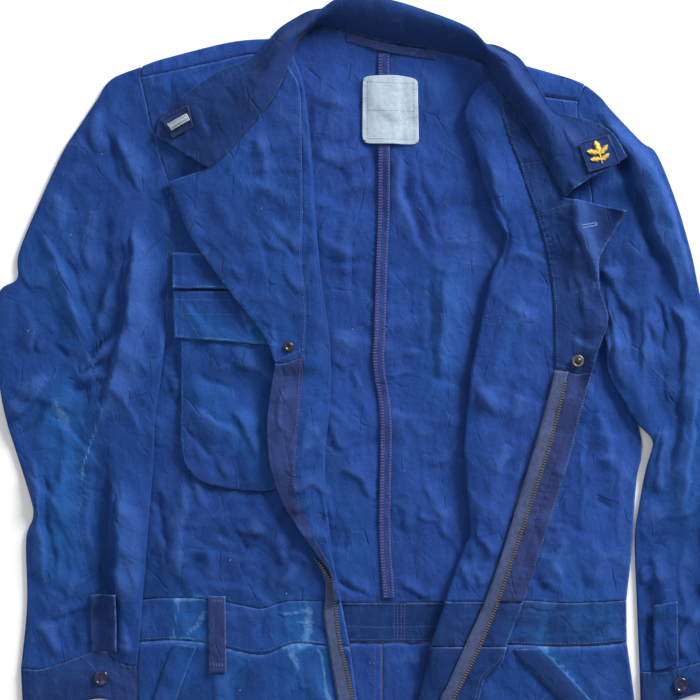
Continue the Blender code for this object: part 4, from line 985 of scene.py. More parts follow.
def tube(upper, under):
    """A closed ring for each row: the upper sheet, the inner turn, the under sheet back, the outer turn."""
    back_in, inner = bend(under[:, -1], under[:, -2], upper[:, -1])
    back_out, outer = bend(under[:, 0], under[:, 1], upper[:, 0])
    upper, under = (drawn_back(drawn_back(sheet, -1, -1, back_in), 0, 1, back_out) for sheet in (upper, under))
    return np.concatenate([upper, inner[:, ::-1], under[:, ::-1], outer, upper[:, :1]], axis=1)


# ---------------------------------------------------------------------------------------- the big pieces
BACK_OPEN = (172, 575, 30)  # the back lies open between these two places across, with its ease at both
OPENING = 34  # how far from a seam two layers part fully
TURNED_SINK = -1.6  # the deepest trough in a turned front
SLEEVE_RISE = 5.8  # how much higher a sleeve lies where it is over the body's side
SLEEVE_REACH = 34  # it starts to rise this far before the side
BULGE = 1.6  # how much air lifts a sleeve along its middle
CUFF_START = 0.004  # the cuff starts this share of its length from the sleeve


def back_tone(plan):
    return worn(plan, "back", 11, 210, 1.5)


def back_height(plan):
    """The back's middle, which a little air lifts away from its sides, and its creases stand on the surface."""
    inside = within(plan[..., 0], *BACK_OPEN) * ease((plan[..., 1] - 66) / 26)
    low = PLY / 2 + ridges(plan, FOLDS["back"]) + 2.2 * inside
    return np.maximum(low + back_tone(plan) * (0.25 + 0.75 * inside), PLY / 2)


def loft_rows():
    """How far the front lies over the back at its outer edge: open at the armhole, closed at the side seam."""
    row = np.arange(ARMHOLE_STEPS + SIDE_STEPS + 1) / ROW_LENGTH
    return LOFT + (PLY + SEAM - LOFT) * ease((row - ARMHOLE_STEPS / ROW_LENGTH - 1) / 3)


def side_line(side):
    return joined(spaced(CUT[side]["armhole"], ARMHOLE_STEPS), spaced(CUT[side]["side"], SIDE_STEPS))


def down_line(side, name):
    """The roll, the facing's line or the free edge, from the shoulder to the waist."""
    return joined(spaced(CUT[side][f"{name}_above"], ROWS_ABOVE), spaced(CUT[side][f"{name}_below"], ROWS_BELOW))


def front_lower(side, seed):
    """The front as far as its roll line, outer side up: rows go down, columns go from the side to the roll."""
    shoulder, waist = (spaced(CUT[side][name], SHOULDER_STEPS) for name in ("shoulder_seam", "waist"))
    plan = patch(shoulder, waist, side_line(side), down_line(side, "roll"))
    open_share = ease(off_edges(plan)[0] / OPENING)
    edge_loft = loft_rows()[:, None]
    loft = edge_loft + (OPEN_LOFT - edge_loft) * open_share
    tone = worn(plan, f"front_{side}", seed, 130, 1.6)
    under = back_height(plan)
    height = under + loft + ridges(plan, FOLDS[f"front_{side}"]) * open_share + tone * (0.3 + 0.7 * open_share)
    return with_height(plan, np.maximum(height, under + PLY + 0.1), tone)


def front_turned(side, seed, pile):
    """The turned part, inner side up, from the roll to the facing's line and from there to the free edge."""
    roll, line, edge = (down_line(side, name) for name in ("roll", "line", "edge"))
    lapel = joined(spaced(CUT[side]["collar_seam"], SEAM_STEPS), spaced(CUT[side]["lapel_top"], LAPEL_STEPS))
    inner = patch(spaced([roll[0], line[0]], INNER_STEPS), spaced([roll[-1], line[-1]], INNER_STEPS), roll, line)
    outer = patch(lapel, spaced([line[-1], edge[-1]], SEAM_STEPS + LAPEL_STEPS), line, edge, fade=3)
    plan = np.concatenate([inner, outer[:, 1:]], axis=1)
    tone = worn(plan, f"turned_{side}", seed, 120, 1.2)
    height = pile.rest(plan, 12, 10) + LOFT - PLY / 2 + ridges(plan, FOLDS[f"turned_{side}"])
    return with_height(plan, height + np.maximum(tone, TURNED_SINK), tone)


def shoulder_wrap(side, seam_row):
    """The back's shoulder, from its fold over to the seam: floor row, turn, upper row and seam row."""
    fold = with_height(spaced(CUT[side]["shoulder_fold"], SHOULDER_STEPS), 0)
    floor, upper, seam = fold.copy(), fold.copy(), seam_row.copy()
    floor[:, 2] = back_height(fold[:, :2])
    upper[:, 2] = seam_row[:, 2]
    back, turn = bend(floor, seam_row, upper)
    floor[:, :2] += back
    upper[:, :2] += back
    seam[:, 1] -= SEAM
    cloth = between(upper, seam, 4).transpose(1, 0, 2)
    cloth[1:-1, :, 2] += 0.7 * np.sin(np.linspace(0, math.pi, 5))[1:-1, None]
    return np.concatenate([floor[None], turn.transpose(1, 0, 2), cloth])


def back_main(floor_right, floor_left):
    """The back on the surface, inner side up: rows go down, columns go from the right to the left."""
    first = np.vstack([floor_right[:1, :2], side_line("right")])
    last = np.vstack([floor_left[:1, :2], side_line("left")])
    neck = np.vstack([floor_right[-1:, :2], spaced(LINES["back_neck"], NECK_STEPS)[1:-1], floor_left[-1:, :2]])
    top = joined(floor_right[:, :2], neck, floor_left[::-1, :2])
    plan = patch(top, spaced(LINES["back_waist"], len(top) - 1), first, last)
    return with_height(plan, back_height(plan), back_tone(plan))


def sleeve_lift(plan, side, inward, fade):
    """How far the sleeve is raised where it lies over the body's side."""
    body = np.array(CUT[side]["side"])
    edge = np.interp(plan[..., 1], body[:, 1], body[:, 0])
    over = (plan[..., 0] - edge) * inward + SLEEVE_REACH
    start = ease((plan[..., 1] - body[0, 1] + 22) / 30)
    end = 1 - ease((plan[..., 1] - fade) / 40)
    return SLEEVE_RISE * ease(over / 24) * start * end


def sleeve_sheets(side, wrap_edge, lower_front, seed, inward, fade):
    """(upper, under) sheets of the sleeve: rows go to the cuff, columns from the outer fold to the inner one."""
    piece, lines = f"sleeve_{side}", CUT[side]
    armhole = evenly(np.vstack([wrap_edge, lower_front[: ARMHOLE_STEPS + 1, 0]]), SLEEVE_COLUMNS)
    armhole[:, 0] -= inward * SEAM
    outer = np.vstack([armhole[:1, :2], spaced(lines["sleeve_outer"], SLEEVE_STEPS)[1:]])
    inner = np.vstack([armhole[-1:, :2], spaced(lines["sleeve_inner"], SLEEVE_STEPS)[1:]])
    plan = patch(armhole[:, :2], spaced(lines["cuff_seam"], SLEEVE_COLUMNS), outer, inner)
    row = np.arange(SLEEVE_STEPS + 1)[:, None] * SLEEVE_ROWS / SLEEVE_STEPS
    column = np.arange(SLEEVE_COLUMNS + 1)[None] / SLEEVE_COLUMNS
    left = SLEEVE_ROWS - row
    under = with_height(plan, PLY / 2 + sleeve_lift(plan, side, inward, fade) * np.minimum(row, 1))
    bulge = BULGE * np.sin(np.pi * column) * np.minimum(row / 3, 1) * np.minimum(left / 3, 1)
    share = np.minimum(row / 2, 1) * np.minimum(left / 2, 1)
    tone = worn(plan, piece, seed, 120, 1.5)
    upper = under.copy()
    upper[..., 3] = tone
    grown = tone * within(column, 0, 1, 0.06) * np.minimum(row / 0.5, 1) * np.minimum(left / 0.3, 1)
    upper[..., 2] += LOFT + np.maximum(bulge + (ridges(plan, FOLDS[piece]) * share + grown), 0.1 - LOFT + PLY)
    upper[0, :, 2], under[0, :, 2] = armhole[:, 2], PLY / 2
    return upper, under


def cuff_ring(upper, side):
    """The cuff goes on from the sleeve's last row to its own edge."""
    sleeve, edge = upper[-1, :, :2], spaced(CUT[side]["cuff_edge"], SLEEVE_COLUMNS)
    plan = between(sleeve + (edge - sleeve) * CUFF_START, edge, 18).transpose(1, 0, 2)
    tone = worn(plan, "cuff", 71, 26, 0.8, [(0.9, 7, CUT[side]["cuff_seam"])])
    high = with_height(plan, CUFF_PLY / 2 + LOFT + 0.4 + np.maximum(tone, -0.6), tone)
    return high, with_height(plan, CUFF_PLY / 2)


def collar_rows(seams, pile):
    """The collar's sections from the right notch to the left one, each from the seam over the roll to the edge."""
    sections = []
    for span, seam in seams.items():
        steps = len(seam) - 1
        roll, edge = (spaced(LINES[f"collar_{name}_{span}"], steps) for name in ("roll", "edge"))
        rise = np.interp(np.linspace(0, 1, steps + 1), *np.array(LINES[f"collar_rise_{span}"]).T)
        start = seam[:, :3].copy()
        start[:, :2] += unit(roll - seam[:, :2]) * COLLAR_GAP
        start[:, 2] = np.maximum(start[:, 2], pile.rest(start[:, :2], 1, 2) + SEAM + COLLAR_PLY / 2)
        top = np.column_stack([roll, start[:, 2] + rise])
        rows = np.stack([start, top, np.column_stack([edge, np.zeros(len(edge))])], axis=1)
        sections.append(rows[1:] if sections else rows)
    return np.concatenate(sections)


def softened(values, times):
    """Each value evened out with the ones before and after it along the first axis."""
    for _ in range(times):
        padded = np.concatenate([values[:1], values, values[-1:]])
        values = (padded[:-2] + 2 * values + padded[2:]) / 4
    return values


STAND_STEPS, FALL_STEPS = 8, 33
OVERHANG, DROP, DROP_ROUND = 0.10, 2.2, 0.06  # how the fall leaves the roll, how it drops, and how round its top is


def collar_grid(sections, pile):
    """Each section as a smooth curve: up the stand, round the roll and down the fall."""
    sections = softened(sections, 3)
    seam, roll, edge = sections[:, 0], sections[:, 1], sections[:, 2]
    low = softened(pile.rest(edge[:, :2], 8, 8), 6) + SEAM * 2 + COLLAR_PLY / 2
    height = roll[:, 2]
    columns = []
    for share in np.linspace(0, 1, STAND_STEPS + 1)[:-1]:
        point = seam * (1 - share) + roll * share
        columns.append(with_height(point[:, :2], seam[:, 2] + (height - seam[:, 2]) * math.sin(share * math.pi / 2)))
    for share in np.linspace(0, 1, FALL_STEPS + 1):
        plan = roll[:, :2] * (1 - share) + edge[:, :2] * share
        beyond = (roll[:, :2] - seam[:, :2]) * OVERHANG * math.sin(math.pi * min(share * 1.6, 1))
        plan = plan + beyond * ease((height - 16) / 6)[:, None]
        clear = pile.rest(plan, 8, 8) + SEAM * 2 + COLLAR_PLY / 2
        drop = (1 - max(0.0, math.hypot(share, DROP_ROUND) - DROP_ROUND) / 0.942) ** DROP if share < 1 else 0.0
        tone = worn(plan, "collar", 31, 70, 0.9, [(0.6, 5, LINES["collar_stitching"])])
        fall = np.maximum(clear, low + (height - low) * drop)
        columns.append(with_height(plan, fall + tone * min(share * 4, 1), tone))
    return np.stack(columns, axis=1)


# ------------------------------------------------------------------------------------- trousers and band
def below(row):
    """The row, moved down to where the next piece starts."""
    row = row.copy()
    row[:, 1] += BAND_DOWN
    return row


def band_front(side, lower_front):
    """The waistband's front, as far as the front's roll line."""
    top, lines = below(lower_front[-1]), CUT[side]
    plan = between(top[:, :2], spaced(lines["band_low"], len(top) - 1), 18).transpose(1, 0, 2)
    rows = np.linspace(0, 1, 19)[:, None]
    tone = worn(plan, "band", 41, 40, 1.0, [(0.8, 6, lines["waist"]), (0.8, 6, lines["band_low"])])
    base = top[:, 2] * (1 - rows) + softened(top[:, 2], 60) * rows
    return with_height(plan, base + 0.5 + np.maximum(tone, -0.5) * ease(rows / 0.1), tone)


def leg_plan(side, top, fly=None):
    """A grid from the waistband's row to the hem, between the outer seam and the fly and inner seam."""
    lines = CUT[side]
    outer = spaced(lines["leg_outer"], LEG_STEPS)
    above = spaced(fly or [top[-1], (top[-1, 0], lines["leg_inner"][0][1])], CROTCH_STEPS)
    outer[0], above[0] = top[0], top[-1]
    inner = joined(above, spaced(lines["leg_inner"], LEG_STEPS - CROTCH_STEPS))
    return patch(top, spaced(lines["hem"], len(top) - 1), outer, inner)


def leg_share(plan):
    """Folds fade towards the outer and inner seams, where front and back are sewn together."""
    off_first, off_last = off_edges(plan)
    return ease(off_first / 40) * ease(off_last / 40)


def trouser_back(side, band_row, toward):
    """One half of the seat with its leg, on the surface."""
    top = below(band_row[:, :2])
    top[-1, 0] = SEAT_ACROSS - toward * SEAT_GAP
    plan = leg_plan(side, top)
    tone = worn(plan, "seat", 51, 190, 1.4)
    height = PLY / 2 + ridges(plan, FOLDS["leg"]) * leg_share(plan) + np.maximum(0.8 + tone, 0) * leg_share(plan)
    return with_height(plan, height, tone)


def trouser_front(side, top, seed):
    plan = leg_plan(side, top[:, :2], CUT[side]["fly_line"])
    off_first, off_last = off_edges(plan)
    row = np.arange(LEG_STEPS + 1)[:, None] * LEG_ROWS / LEG_STEPS
    sewn = ease((row - 3) / 2)
    inner_open = ease(off_last / OPENING) * sewn + (1 - sewn)
    loft = PLY + SEAM + (OPEN_LOFT - PLY - SEAM) * ease(off_first / OPENING) * inner_open
    tone = worn(plan, "leg", seed, 200, 1.6)
    height = PLY / 2 + (ridges(plan, FOLDS["leg"]) + 1.2) * leg_share(plan) + loft
    height += np.maximum(tone, -0.8) * leg_share(plan)
    share = ease(row / 0.6)
    return with_height(plan, height * share + top[:, 2] * (1 - share), tone)


# -------------------------------------------------------------------------------------------- materials
class Recipe:
    """A material's nodes, added by name and joined as they are made."""

    def __init__(self, name):
        self.material = bpy.data.materials.new(name)
        self.material.use_nodes = True
        self.tree = self.material.node_tree
        self.shader = self.tree.nodes["Principled BSDF"]
        self.place = self.add("ShaderNodeTexCoord").outputs["Object"]

    def add(self, kind, settings=(), **sockets):
        made = self.tree.nodes.new(kind)
        for key, value in dict(settings).items():
            setattr(made, key, value)
        for key, value in sockets.items():
            self.feed(made.inputs[key.replace("_", " ")], value)
        return made

    def feed(self, socket, value):
        if isinstance(value, bpy.types.NodeSocket):
            self.tree.links.new(value, socket)
        else:
            socket.default_value = value

    def noise(self, scale, detail=3.0, rough=0.5):
        made = self.add("ShaderNodeTexNoise", Scale=scale, Detail=detail, Roughness=rough, Vector=self.place)
        return made.outputs["Fac"]

    def spots(self, scale, low, high, detail=3.0, rough=0.5):
        """Noise with its contrast raised: 0 below low and 1 above high."""
        return self.ramp(self.noise(scale, detail, rough), low, high)

    def math(self, operation, first, second=0.0, clamp=False):
        made = self.add("ShaderNodeMath", {"operation": operation, "use_clamp": clamp})
        self.feed(made.inputs[0], first)
        self.feed(made.inputs[1], second)
        return made.outputs[0]

    def times(self, first, second, clamp=False):
        return self.math("MULTIPLY", first, second, clamp)

    def ramp(self, value, low, high):
        """0 below low and 1 above high."""
        return self.add("ShaderNodeMapRange", Value=value, From_Min=low, From_Max=high).outputs[0]

    def spread(self, value, low, high):
        """From low to high as the value goes from 0 to 1."""
        return self.add("ShaderNodeMapRange", Value=value, To_Min=low, To_Max=high).outputs[0]

    def mix(self, share, first, second):
        made = self.add("ShaderNodeMix", {"data_type": "RGBA"})
        for socket, value in ((made.inputs[0], share), (made.inputs[6], first), (made.inputs[7], second)):
            self.feed(socket, (*value, 1) if isinstance(value, tuple) and len(value) == 3 else value)
        return made.outputs[2]

    def over(self, colour, top, value, share, clamp=False):
        """The colour, with the top one over it as far as the value times the share."""
        return self.mix(self.times(value, share, clamp), colour, top)

    def attribute(self, name):
        return self.add("ShaderNodeAttribute", {"attribute_name": name}).outputs["Fac"]

    def turned(self, turn, **sockets):
        """The object's places, turned about the upright by some degrees."""
        rotation = (0, 0, math.radians(turn))
        return self.add("ShaderNodeMapping", Rotation=rotation, Vector=self.place, **sockets).outputs[0]

    def threads(self, pitch, turn):
        """Bands of one thread's pitch, in metres, at an angle to the sheet's across."""
        made = self.add("ShaderNodeTexWave", {"bands_direction": "X"}, Scale=math.pi * 0.1 / pitch, Distortion=0.6,
                        Detail_Scale=40.0, Vector=self.turned(turn))
        return made.outputs["Fac"]

    def facets(self, scale, turn, feature="F1", drift=0.018):
        """The flat-sided dents of crumpled cotton: pyramids on scattered centres, on places that noise has shifted."""
        astray = self.add("ShaderNodeTexNoise", Scale=scale * 0.6, Detail=2.0, Vector=self.place).outputs["Color"]
        shifted = self.add("ShaderNodeMix", {"data_type": "VECTOR", "factor_mode": "UNIFORM"})
        for socket, value in ((0, drift), (4, self.turned(turn, Scale=(1.0, 0.55, 0.3))), (5, astray)):
            self.feed(shifted.inputs[socket], value)
        settings = {"distance": "CHEBYCHEV", "feature": feature, "voronoi_dimensions": "2D"}
        made = self.add("ShaderNodeTexVoronoi", settings, Scale=scale, Vector=shifted.outputs[1])
        return made.outputs["Distance"]

    def bump(self, *layers):
        """Layers of (height, distance in metres), each on top of the one before."""
        lower = {}
        for height, distance in layers:
            made = self.add("ShaderNodeBump", Strength=1.0, Distance=distance, Height=height, **lower)
            lower = {"Normal": made.outputs[0]}
        self.feed(self.shader.inputs["Normal"], made.outputs[0])

    def finish(self, colour, roughness, sheen=0.0, metallic=0.0, gloss=0.1):
        values = {"Base Color": colour, "Roughness": roughness, "Sheen Weight": sheen, "Sheen Roughness": 0.6,
                  "Metallic": metallic, "Specular IOR Level": gloss}
        for key, value in values.items():
            self.feed(self.shader.inputs[key], value)
        return self.material


BLEACHED, WORN = (0.014, 0.112, 0.350), (0.17, 0.36, 0.64)
# The first colour on the next line is the painted highlight on crease ridges and the last is the painted highlight on
# crest lines; the middle one is wear along the pieces' edges.
RIDGE_HIGHLIGHT, EDGE_WORN, CREST_HIGHLIGHT = (0.050, 0.115, 0.36), (0.13, 0.22, 0.50), (0.055, 0.112, 0.34)


def scaled(colour, by):
    return tuple(value * by for value in colour)


def worn_cotton(name, deep, lit, warm, bleach=1.0, wear=0.5):
    """Twill that has faded unevenly: its colour wanders and its edges are worn paler. Crease ridges and crest lines
    are painted paler as a painted highlight, and troughs and trough lines darker as painted shade.
    """
    cloth = Recipe(name)
    patchy = cloth.spots(70, 0.34, 0.68, 4, 0.6)
    speckle = cloth.spots(520, 0.30, 0.72, 2, 0.7)
    tone = cloth.attribute("tone")
    faded = cloth.times(cloth.attribute("bleach"), bleach)
    colour = cloth.over(deep, lit, cloth.spots(14, 0.38, 0.64, 3, 0.55), 0.7)
    colour = cloth.over(colour, lit, patchy, 0.30)
    colour = cloth.over(colour, warm, cloth.spots(9, 0.45, 0.7, 2), 0.45)
    # Painted highlight: crease ridges are paler the higher the tone lifts them.
    colour = cloth.over(colour, RIDGE_HIGHLIGHT, cloth.ramp(tone, 0.4, 3.2), 0.42)
    # Painted shade: troughs are darker the deeper the tone sinks them.
    colour = cloth.over(colour, scaled(deep, 0.45), cloth.ramp(cloth.times(tone, -1.0), 0.2, 1.8), 0.45)
    grain = cloth.math("ADD", cloth.times(speckle, 0.55), cloth.times(patchy, 0.55))
    colour = cloth.over(colour, BLEACHED, faded, cloth.math("ADD", grain, 0.15), True)
    pale = cloth.times(cloth.ramp(faded, 0.80, 1.0), cloth.spots(260, 0.28, 0.66, 3, 0.7))
    colour = cloth.over(colour, WORN, pale, 0.75)
    edge = cloth.times(cloth.ramp(cloth.attribute("edge"), 0.35, 1.0), cloth.spots(180, 0.3, 0.7))
    colour = cloth.over(colour, EDGE_WORN, edge, wear)
    colour = cloth.over(colour, scaled(deep, 0.55), speckle, 0.30)
    lines = []
    for scale, turn, wide, place in ((25, 40, 0.034, 58), (33, 12, 0.042, 47)):
        off = cloth.math("SUBTRACT", 1.0, cloth.ramp(cloth.facets(scale, turn, "DISTANCE_TO_EDGE", 0.011), 0.0, wide))
        lines.append(cloth.times(off, cloth.spots(place, 0.49, 0.68, 2)))
    crests, troughs = lines
    # Painted highlight on the crest lines and painted shade in the trough lines, which the bump below also raises and
    # sinks.
    colour = cloth.over(colour, CREST_HIGHLIGHT, crests, 0.24)
    colour = cloth.over(colour, scaled(deep, 0.5), troughs, 0.36)
    twill = cloth.threads(0.0009, 62)
    colour = cloth.over(colour, scaled(lit, 1.5), twill, 0.16)
    colour = cloth.over(colour, scaled(lit, 1.9), cloth.spots(900, 0.40, 0.68, 2, 0.8), 0.16)
    cloth.bump((cloth.facets(34, 24), 0.0018), (cloth.facets(78, 61), 0.0011), (crests, 0.0004), (troughs, -0.0008),
               (cloth.noise(190, 3, 0.6), 0.0007), (twill, 0.00018), (cloth.noise(1500, 2, 0.6), 0.00030))
    return cloth.finish(colour, cloth.spread(speckle, 0.78, 0.92), sheen=0.015, gloss=0.06)


def woven(name, colour, pale, pitch, turn, bump, specks):
    """A plain woven tape, label or twill patch."""
    cloth = Recipe(name)
    weave = cloth.math("MAXIMUM", cloth.threads(pitch, turn), cloth.threads(pitch, turn + 90))
    base = cloth.over(colour, pale, cloth.spots(240, 0.3, 0.7, 4, 0.65), specks)
    base = cloth.over(base, scaled(pale, 1.35), weave, 0.25)
    cloth.bump((cloth.noise(130, 3), 0.0006), (weave, bump))
    return cloth.finish(base, 0.85, sheen=0.2)


def thread(name, colour, pale, sheen):
    yarn = Recipe(name)
    yarn.bump((yarn.threads(0.0005, 30), 0.0001))
    return yarn.finish(yarn.mix(yarn.spots(700, 0.3, 0.7, 3, 0.6), colour, pale), 0.6, sheen=sheen)


def plated(name, colour, dull, roughness):
    metal = Recipe(name)
    stain = metal.spots(420, 0.35, 0.7, 4, 0.7)
    metal.bump((metal.noise(900, 2), 0.00006))
    rough = metal.spread(stain, roughness, roughness + 0.25)
    return metal.finish(metal.mix(stain, colour, dull), rough, metallic=0.85, gloss=0.5)


def moulded(name, colour, pale):
    plastic = Recipe(name)
    plastic.bump((plastic.noise(600, 2), 0.00005))
    return plastic.finish(plastic.mix(plastic.spots(300, 0.4, 0.75, 4, 0.6), colour, pale), 0.14, gloss=0.6)


MAKERS = {"cotton": worn_cotton, "woven": woven, "thread": thread, "plated": plated, "moulded": moulded}
LOOKS, SLOTS = {}, {}
# Each look: how it is made, its own name, its slot, its material's name, the maker's numbers and the colours.
for maker, look, slot, name, *numbers, colours in table("""
cotton cloth cloth navy_cotton 1 0.5 0.0085,0.033,0.148 0.0135,0.056,0.236 0.019,0.040,0.170
cotton inner cloth navy_cotton_inside 1 0.5 0.0115,0.039,0.176 0.0175,0.059,0.258 0.024,0.044,0.195
cotton faced faced purple_navy_cotton 0.8 0.7 0.0065,0.023,0.094 0.0115,0.038,0.154 0.025,0.034,0.128
cotton strip faced maroon_navy_tape 0.6 0.9 0.015,0.028,0.098 0.025,0.046,0.160 0.038,0.036,0.118
woven tape tape zip_tape 0.0016 -16 0.0004 0.85 0.018,0.030,0.095 0.056,0.080,0.190
woven label label bare_label 0.0012 1 0.0002 0.8 0.25,0.31,0.38 0.39,0.46,0.54
thread stitch cloth stitch_pale 0.12 0.055,0.095,0.29 0.15,0.22,0.49
thread pink faced stitch_pink 0.12 0.100,0.080,0.25 0.27,0.21,0.46
thread dark cloth stitch_navy 0.12 0.008,0.018,0.080 0.022,0.045,0.165
thread gold gold gold_thread 0.3 0.70,0.44,0.03 0.88,0.62,0.08
thread silver silver silver_thread 0.8 0.24,0.31,0.40 0.46,0.54,0.62
cotton seam faced felled_cotton 0.5 0.2 0.014,0.030,0.118 0.026,0.052,0.200 0.040,0.040,0.150
thread buttonhole cloth buttonhole_twist 0.12 0.07,0.15,0.36 0.16,0.28,0.55
thread grey label stitch_grey 0.12 0.05,0.06,0.08 0.12,0.14,0.17
thread lint label lint 0.12 0.42,0.47,0.55 0.60,0.64,0.70
plated brass brass aged_brass 0.36 0.30,0.235,0.13 0.13,0.10,0.06
plated snap snap dark_plated 0.28 0.07,0.07,0.075 0.025,0.025,0.03
plated ring snap bright_plated 0.28 0.19,0.185,0.165 0.08,0.076,0.066
moulded button button navy_plastic 0.006,0.007,0.040 0.018,0.020,0.080
"""):
    LOOKS[look], SLOTS[look] = MAKERS[maker](name, *colours, *numbers), slot


# ------------------------------------------------------------------------------- stitches and trimmings
FIRST_SEED = 900  # of the rows of stitches
STITCH_PITCH, STITCH_LONG, STITCH_WIDE, STITCH_HIGH, STITCH_LIFT = 2.9, 2.2, 0.55, 0.30, 0.06
STEEPEST = 1.2  # a stitch whose ends differ more than this in height spans an edge, and is left out
RAY_FROM = 0.2  # metres, well above the suit
FIRST_TOOTH = {"right": 562, "left": 380}
TEETH_PITCH, TOOTH_HALF, TOOTH_WIDE = 2.7, 0.62, 1.55
TOOTH_LEVELS = ((-1.2, 1.0), (0.5, 1.0), (0.85, 0.65))  # (height over the tape, share of the size there)
ROUND_SIDES = 36
LOZENGE = [(0, 4, 2), (4, 1, 2), (0, 3, 4), (4, 3, 1), (0, 2, 5), (5, 2, 1), (0, 5, 3), (5, 1, 3)]

# Round parts: radius,height from the middle of the top out and down.
PROFILES = dict(table("""
cuff_button 0,1.5 2.6,1.5 4.4,1.6 5,2.3 5.8,2.7 6.8,2.5 7.6,1.6 7.5,0.8 6.6,0.1
snap_socket 0,0.6 1.6,0.6 2.2,1.9 3.4,2.1 4.6,1.6 5,0.4 4.8,0
snap_socket_rim 0,-0.1 4.6,0.6 5.2,0.8 5.5,0.4 5.4,0
snap_stud 0,2.4 1.2,2.3 2.2,1.8 2.6,0.8 4,0.8 4.3,0.5 4,0
snap_stud_rim 0,0 4.1,0.9 5,1.5 6,1.1 6.1,0.4 5.8,0
"""))

# The sprig's stem and its leaves: length, half width, turn, and the start from the middle of the sprig.
LEAVES = table("""
22 1 0 2.9,10.7
12 4.3 0 -0.4,-1
12.5 3.9 -62 0,0.4
12 3.8 60 0,0.4
10.5 3.5 -74 1.5,6.2
10 3.5 72 1.5,6.2
""")


def on_top(node, places):
    """Heights in millimetres of the top of a piece at plan places, and nan where it isn't."""
    if node not in TREES:
        TREES[node] = BVHTree.FromObject(TOPS[node], bpy.context.evaluated_depsgraph_get())
    heights = []
    for x, y, _ in in_metres(with_height(np.asarray(places, float), 0)):
        hit = TREES[node].ray_cast((x, y, RAY_FROM), (0, 0, -1))[0]
        heights.append(hit.z / MM if hit else math.nan)
    return np.array(heights)


def aside(line, offset):
    """The line moved to the right of its run down the sheet."""
    return line + offset * to_right(unit(np.gradient(line, axis=0), TINY))


def add_trim(name, look, points, faces, nodes=(), smooth=True):
    """A small hard or thread piece."""
    mesh = bpy.data.meshes.new(name)
    mesh.from_pydata(in_metres(points).tolist(), [], faces)
    if smooth:
        mesh.shade_smooth()
    add_piece(mesh, look, nodes)


def thread_row(ends, heights, wide, high):
    return *[(*end, level) for end, level in zip(ends, heights)], wide, high


def lozenges(name, look, rows, nodes=()):
    """One piece of many short threads. Each row is (start, end, width, height) with heights in the ends."""
    points, faces = [], []
    for start, end, wide, high in rows:
        start, end = np.array(start, float), np.array(end, float)
        middle = (start + end) / 2
        step = end[:2] - start[:2]
        over = np.array([step[1], -step[0]]) / (np.linalg.norm(step) + TINY) * wide / 2
        base = len(points)
        points += [start, end, (*(middle[:2] + over), middle[2]), (*(middle[:2] - over), middle[2]),
                   (*middle[:2], middle[2] + high), (*middle[:2], middle[2] - high)]
        faces += [(base + a, base + b, base + c) for a, b, c in LOZENGE]
    add_trim(name, look, points, faces, nodes)


def stitch_rows():
    """Every row of machine stitches, one piece for each thread."""
    found = {}
    for number, (node, look, *offsets, points) in enumerate(STITCHES):
        rng = np.random.default_rng(FIRST_SEED + number)
        for offset in offsets:
            line = aside(smooth_line(points, 24) if len(points) > 2 else spaced(points, 60), offset)
            middles = evenly(line, max(2, int(running(line)[-1] / STITCH_PITCH)))
            half = unit(np.gradient(middles, axis=0)) * STITCH_LONG / 2 * rng.uniform(0.85, 1.08, (len(middles), 1))
            middles = middles + rng.normal(0, 0.09, middles.shape)
            starts, ends = middles - half, middles + half
            for start, end, low, high in zip(starts, ends, on_top(node, starts), on_top(node, ends)):
                if abs(low - high) < STEEPEST:
                    lifted = low + STITCH_LIFT, high + STITCH_LIFT
                    found.setdefault(look, []).append(thread_row((start, end), lifted, STITCH_WIDE, STITCH_HIGH))
    for look, rows in found.items():
        lozenges(f"stitches_{look}", look, rows)


def zip_teeth():
    """The brass teeth along both tapes, each a small block clamped over the tape's edge."""
    for side in CUT:
        teeth = LINES[f"teeth_{side}"]
        line = spaced(teeth, int(running(smooth_line(teeth))[-1] / TEETH_PITCH))
        heading = unit(np.gradient(line, axis=0))
        over = to_right(heading)
        heights = on_top(f"zip_tape_{side}", line - over * TOOTH_WIDE)
        points, faces = [], []
        for at, ahead, out, z in zip(line, heading, over, heights):
            if math.isnan(z) or at[1] < FIRST_TOOTH[side]:
                continue
            base = len(points)
            for level, grow in TOOTH_LEVELS:
                for a, b in ((-1, -1), (1, -1), (1, 1), (-1, 1)):
                    place = at + ahead * a * TOOTH_HALF * grow + out * (b * TOOTH_WIDE * grow)
                    points.append((*place, z + level))
            for k in range(8):
                n = k // 4 * 4 + (k + 1) % 4
                faces.append((base + k, base + n, base + 4 + n, base + 4 + k))
            faces += [(base + 3, base + 2, base + 1, base), (base + 8, base + 9, base + 10, base + 11)]
        add_trim(f"zip_teeth_{side}", "brass", points, faces, smooth=False)


def round_part(name, look, centre, height, profile, nodes=()):
    """A profile turned about its centre."""
    points, faces = [(*centre, height + profile[0][1])], []
    for radius, level in profile[1:]:
        for k in range(ROUND_SIDES):
            angle = 2 * math.pi * k / ROUND_SIDES
            points.append((centre[0] + radius * math.cos(angle), centre[1] + radius * math.sin(angle), height + level))
    rings = range(1, len(points), ROUND_SIDES)
    for k in range(ROUND_SIDES):
        n = (k + 1) % ROUND_SIDES
        faces.append((0, 1 + n, 1 + k))
        faces += [(a + k, a + n, b + n, b + k) for a, b in zip(rings, rings[1:])]
    faces.append(tuple(rings[-1] + k for k in range(ROUND_SIDES)))
    add_trim(name, look, points, faces, nodes)


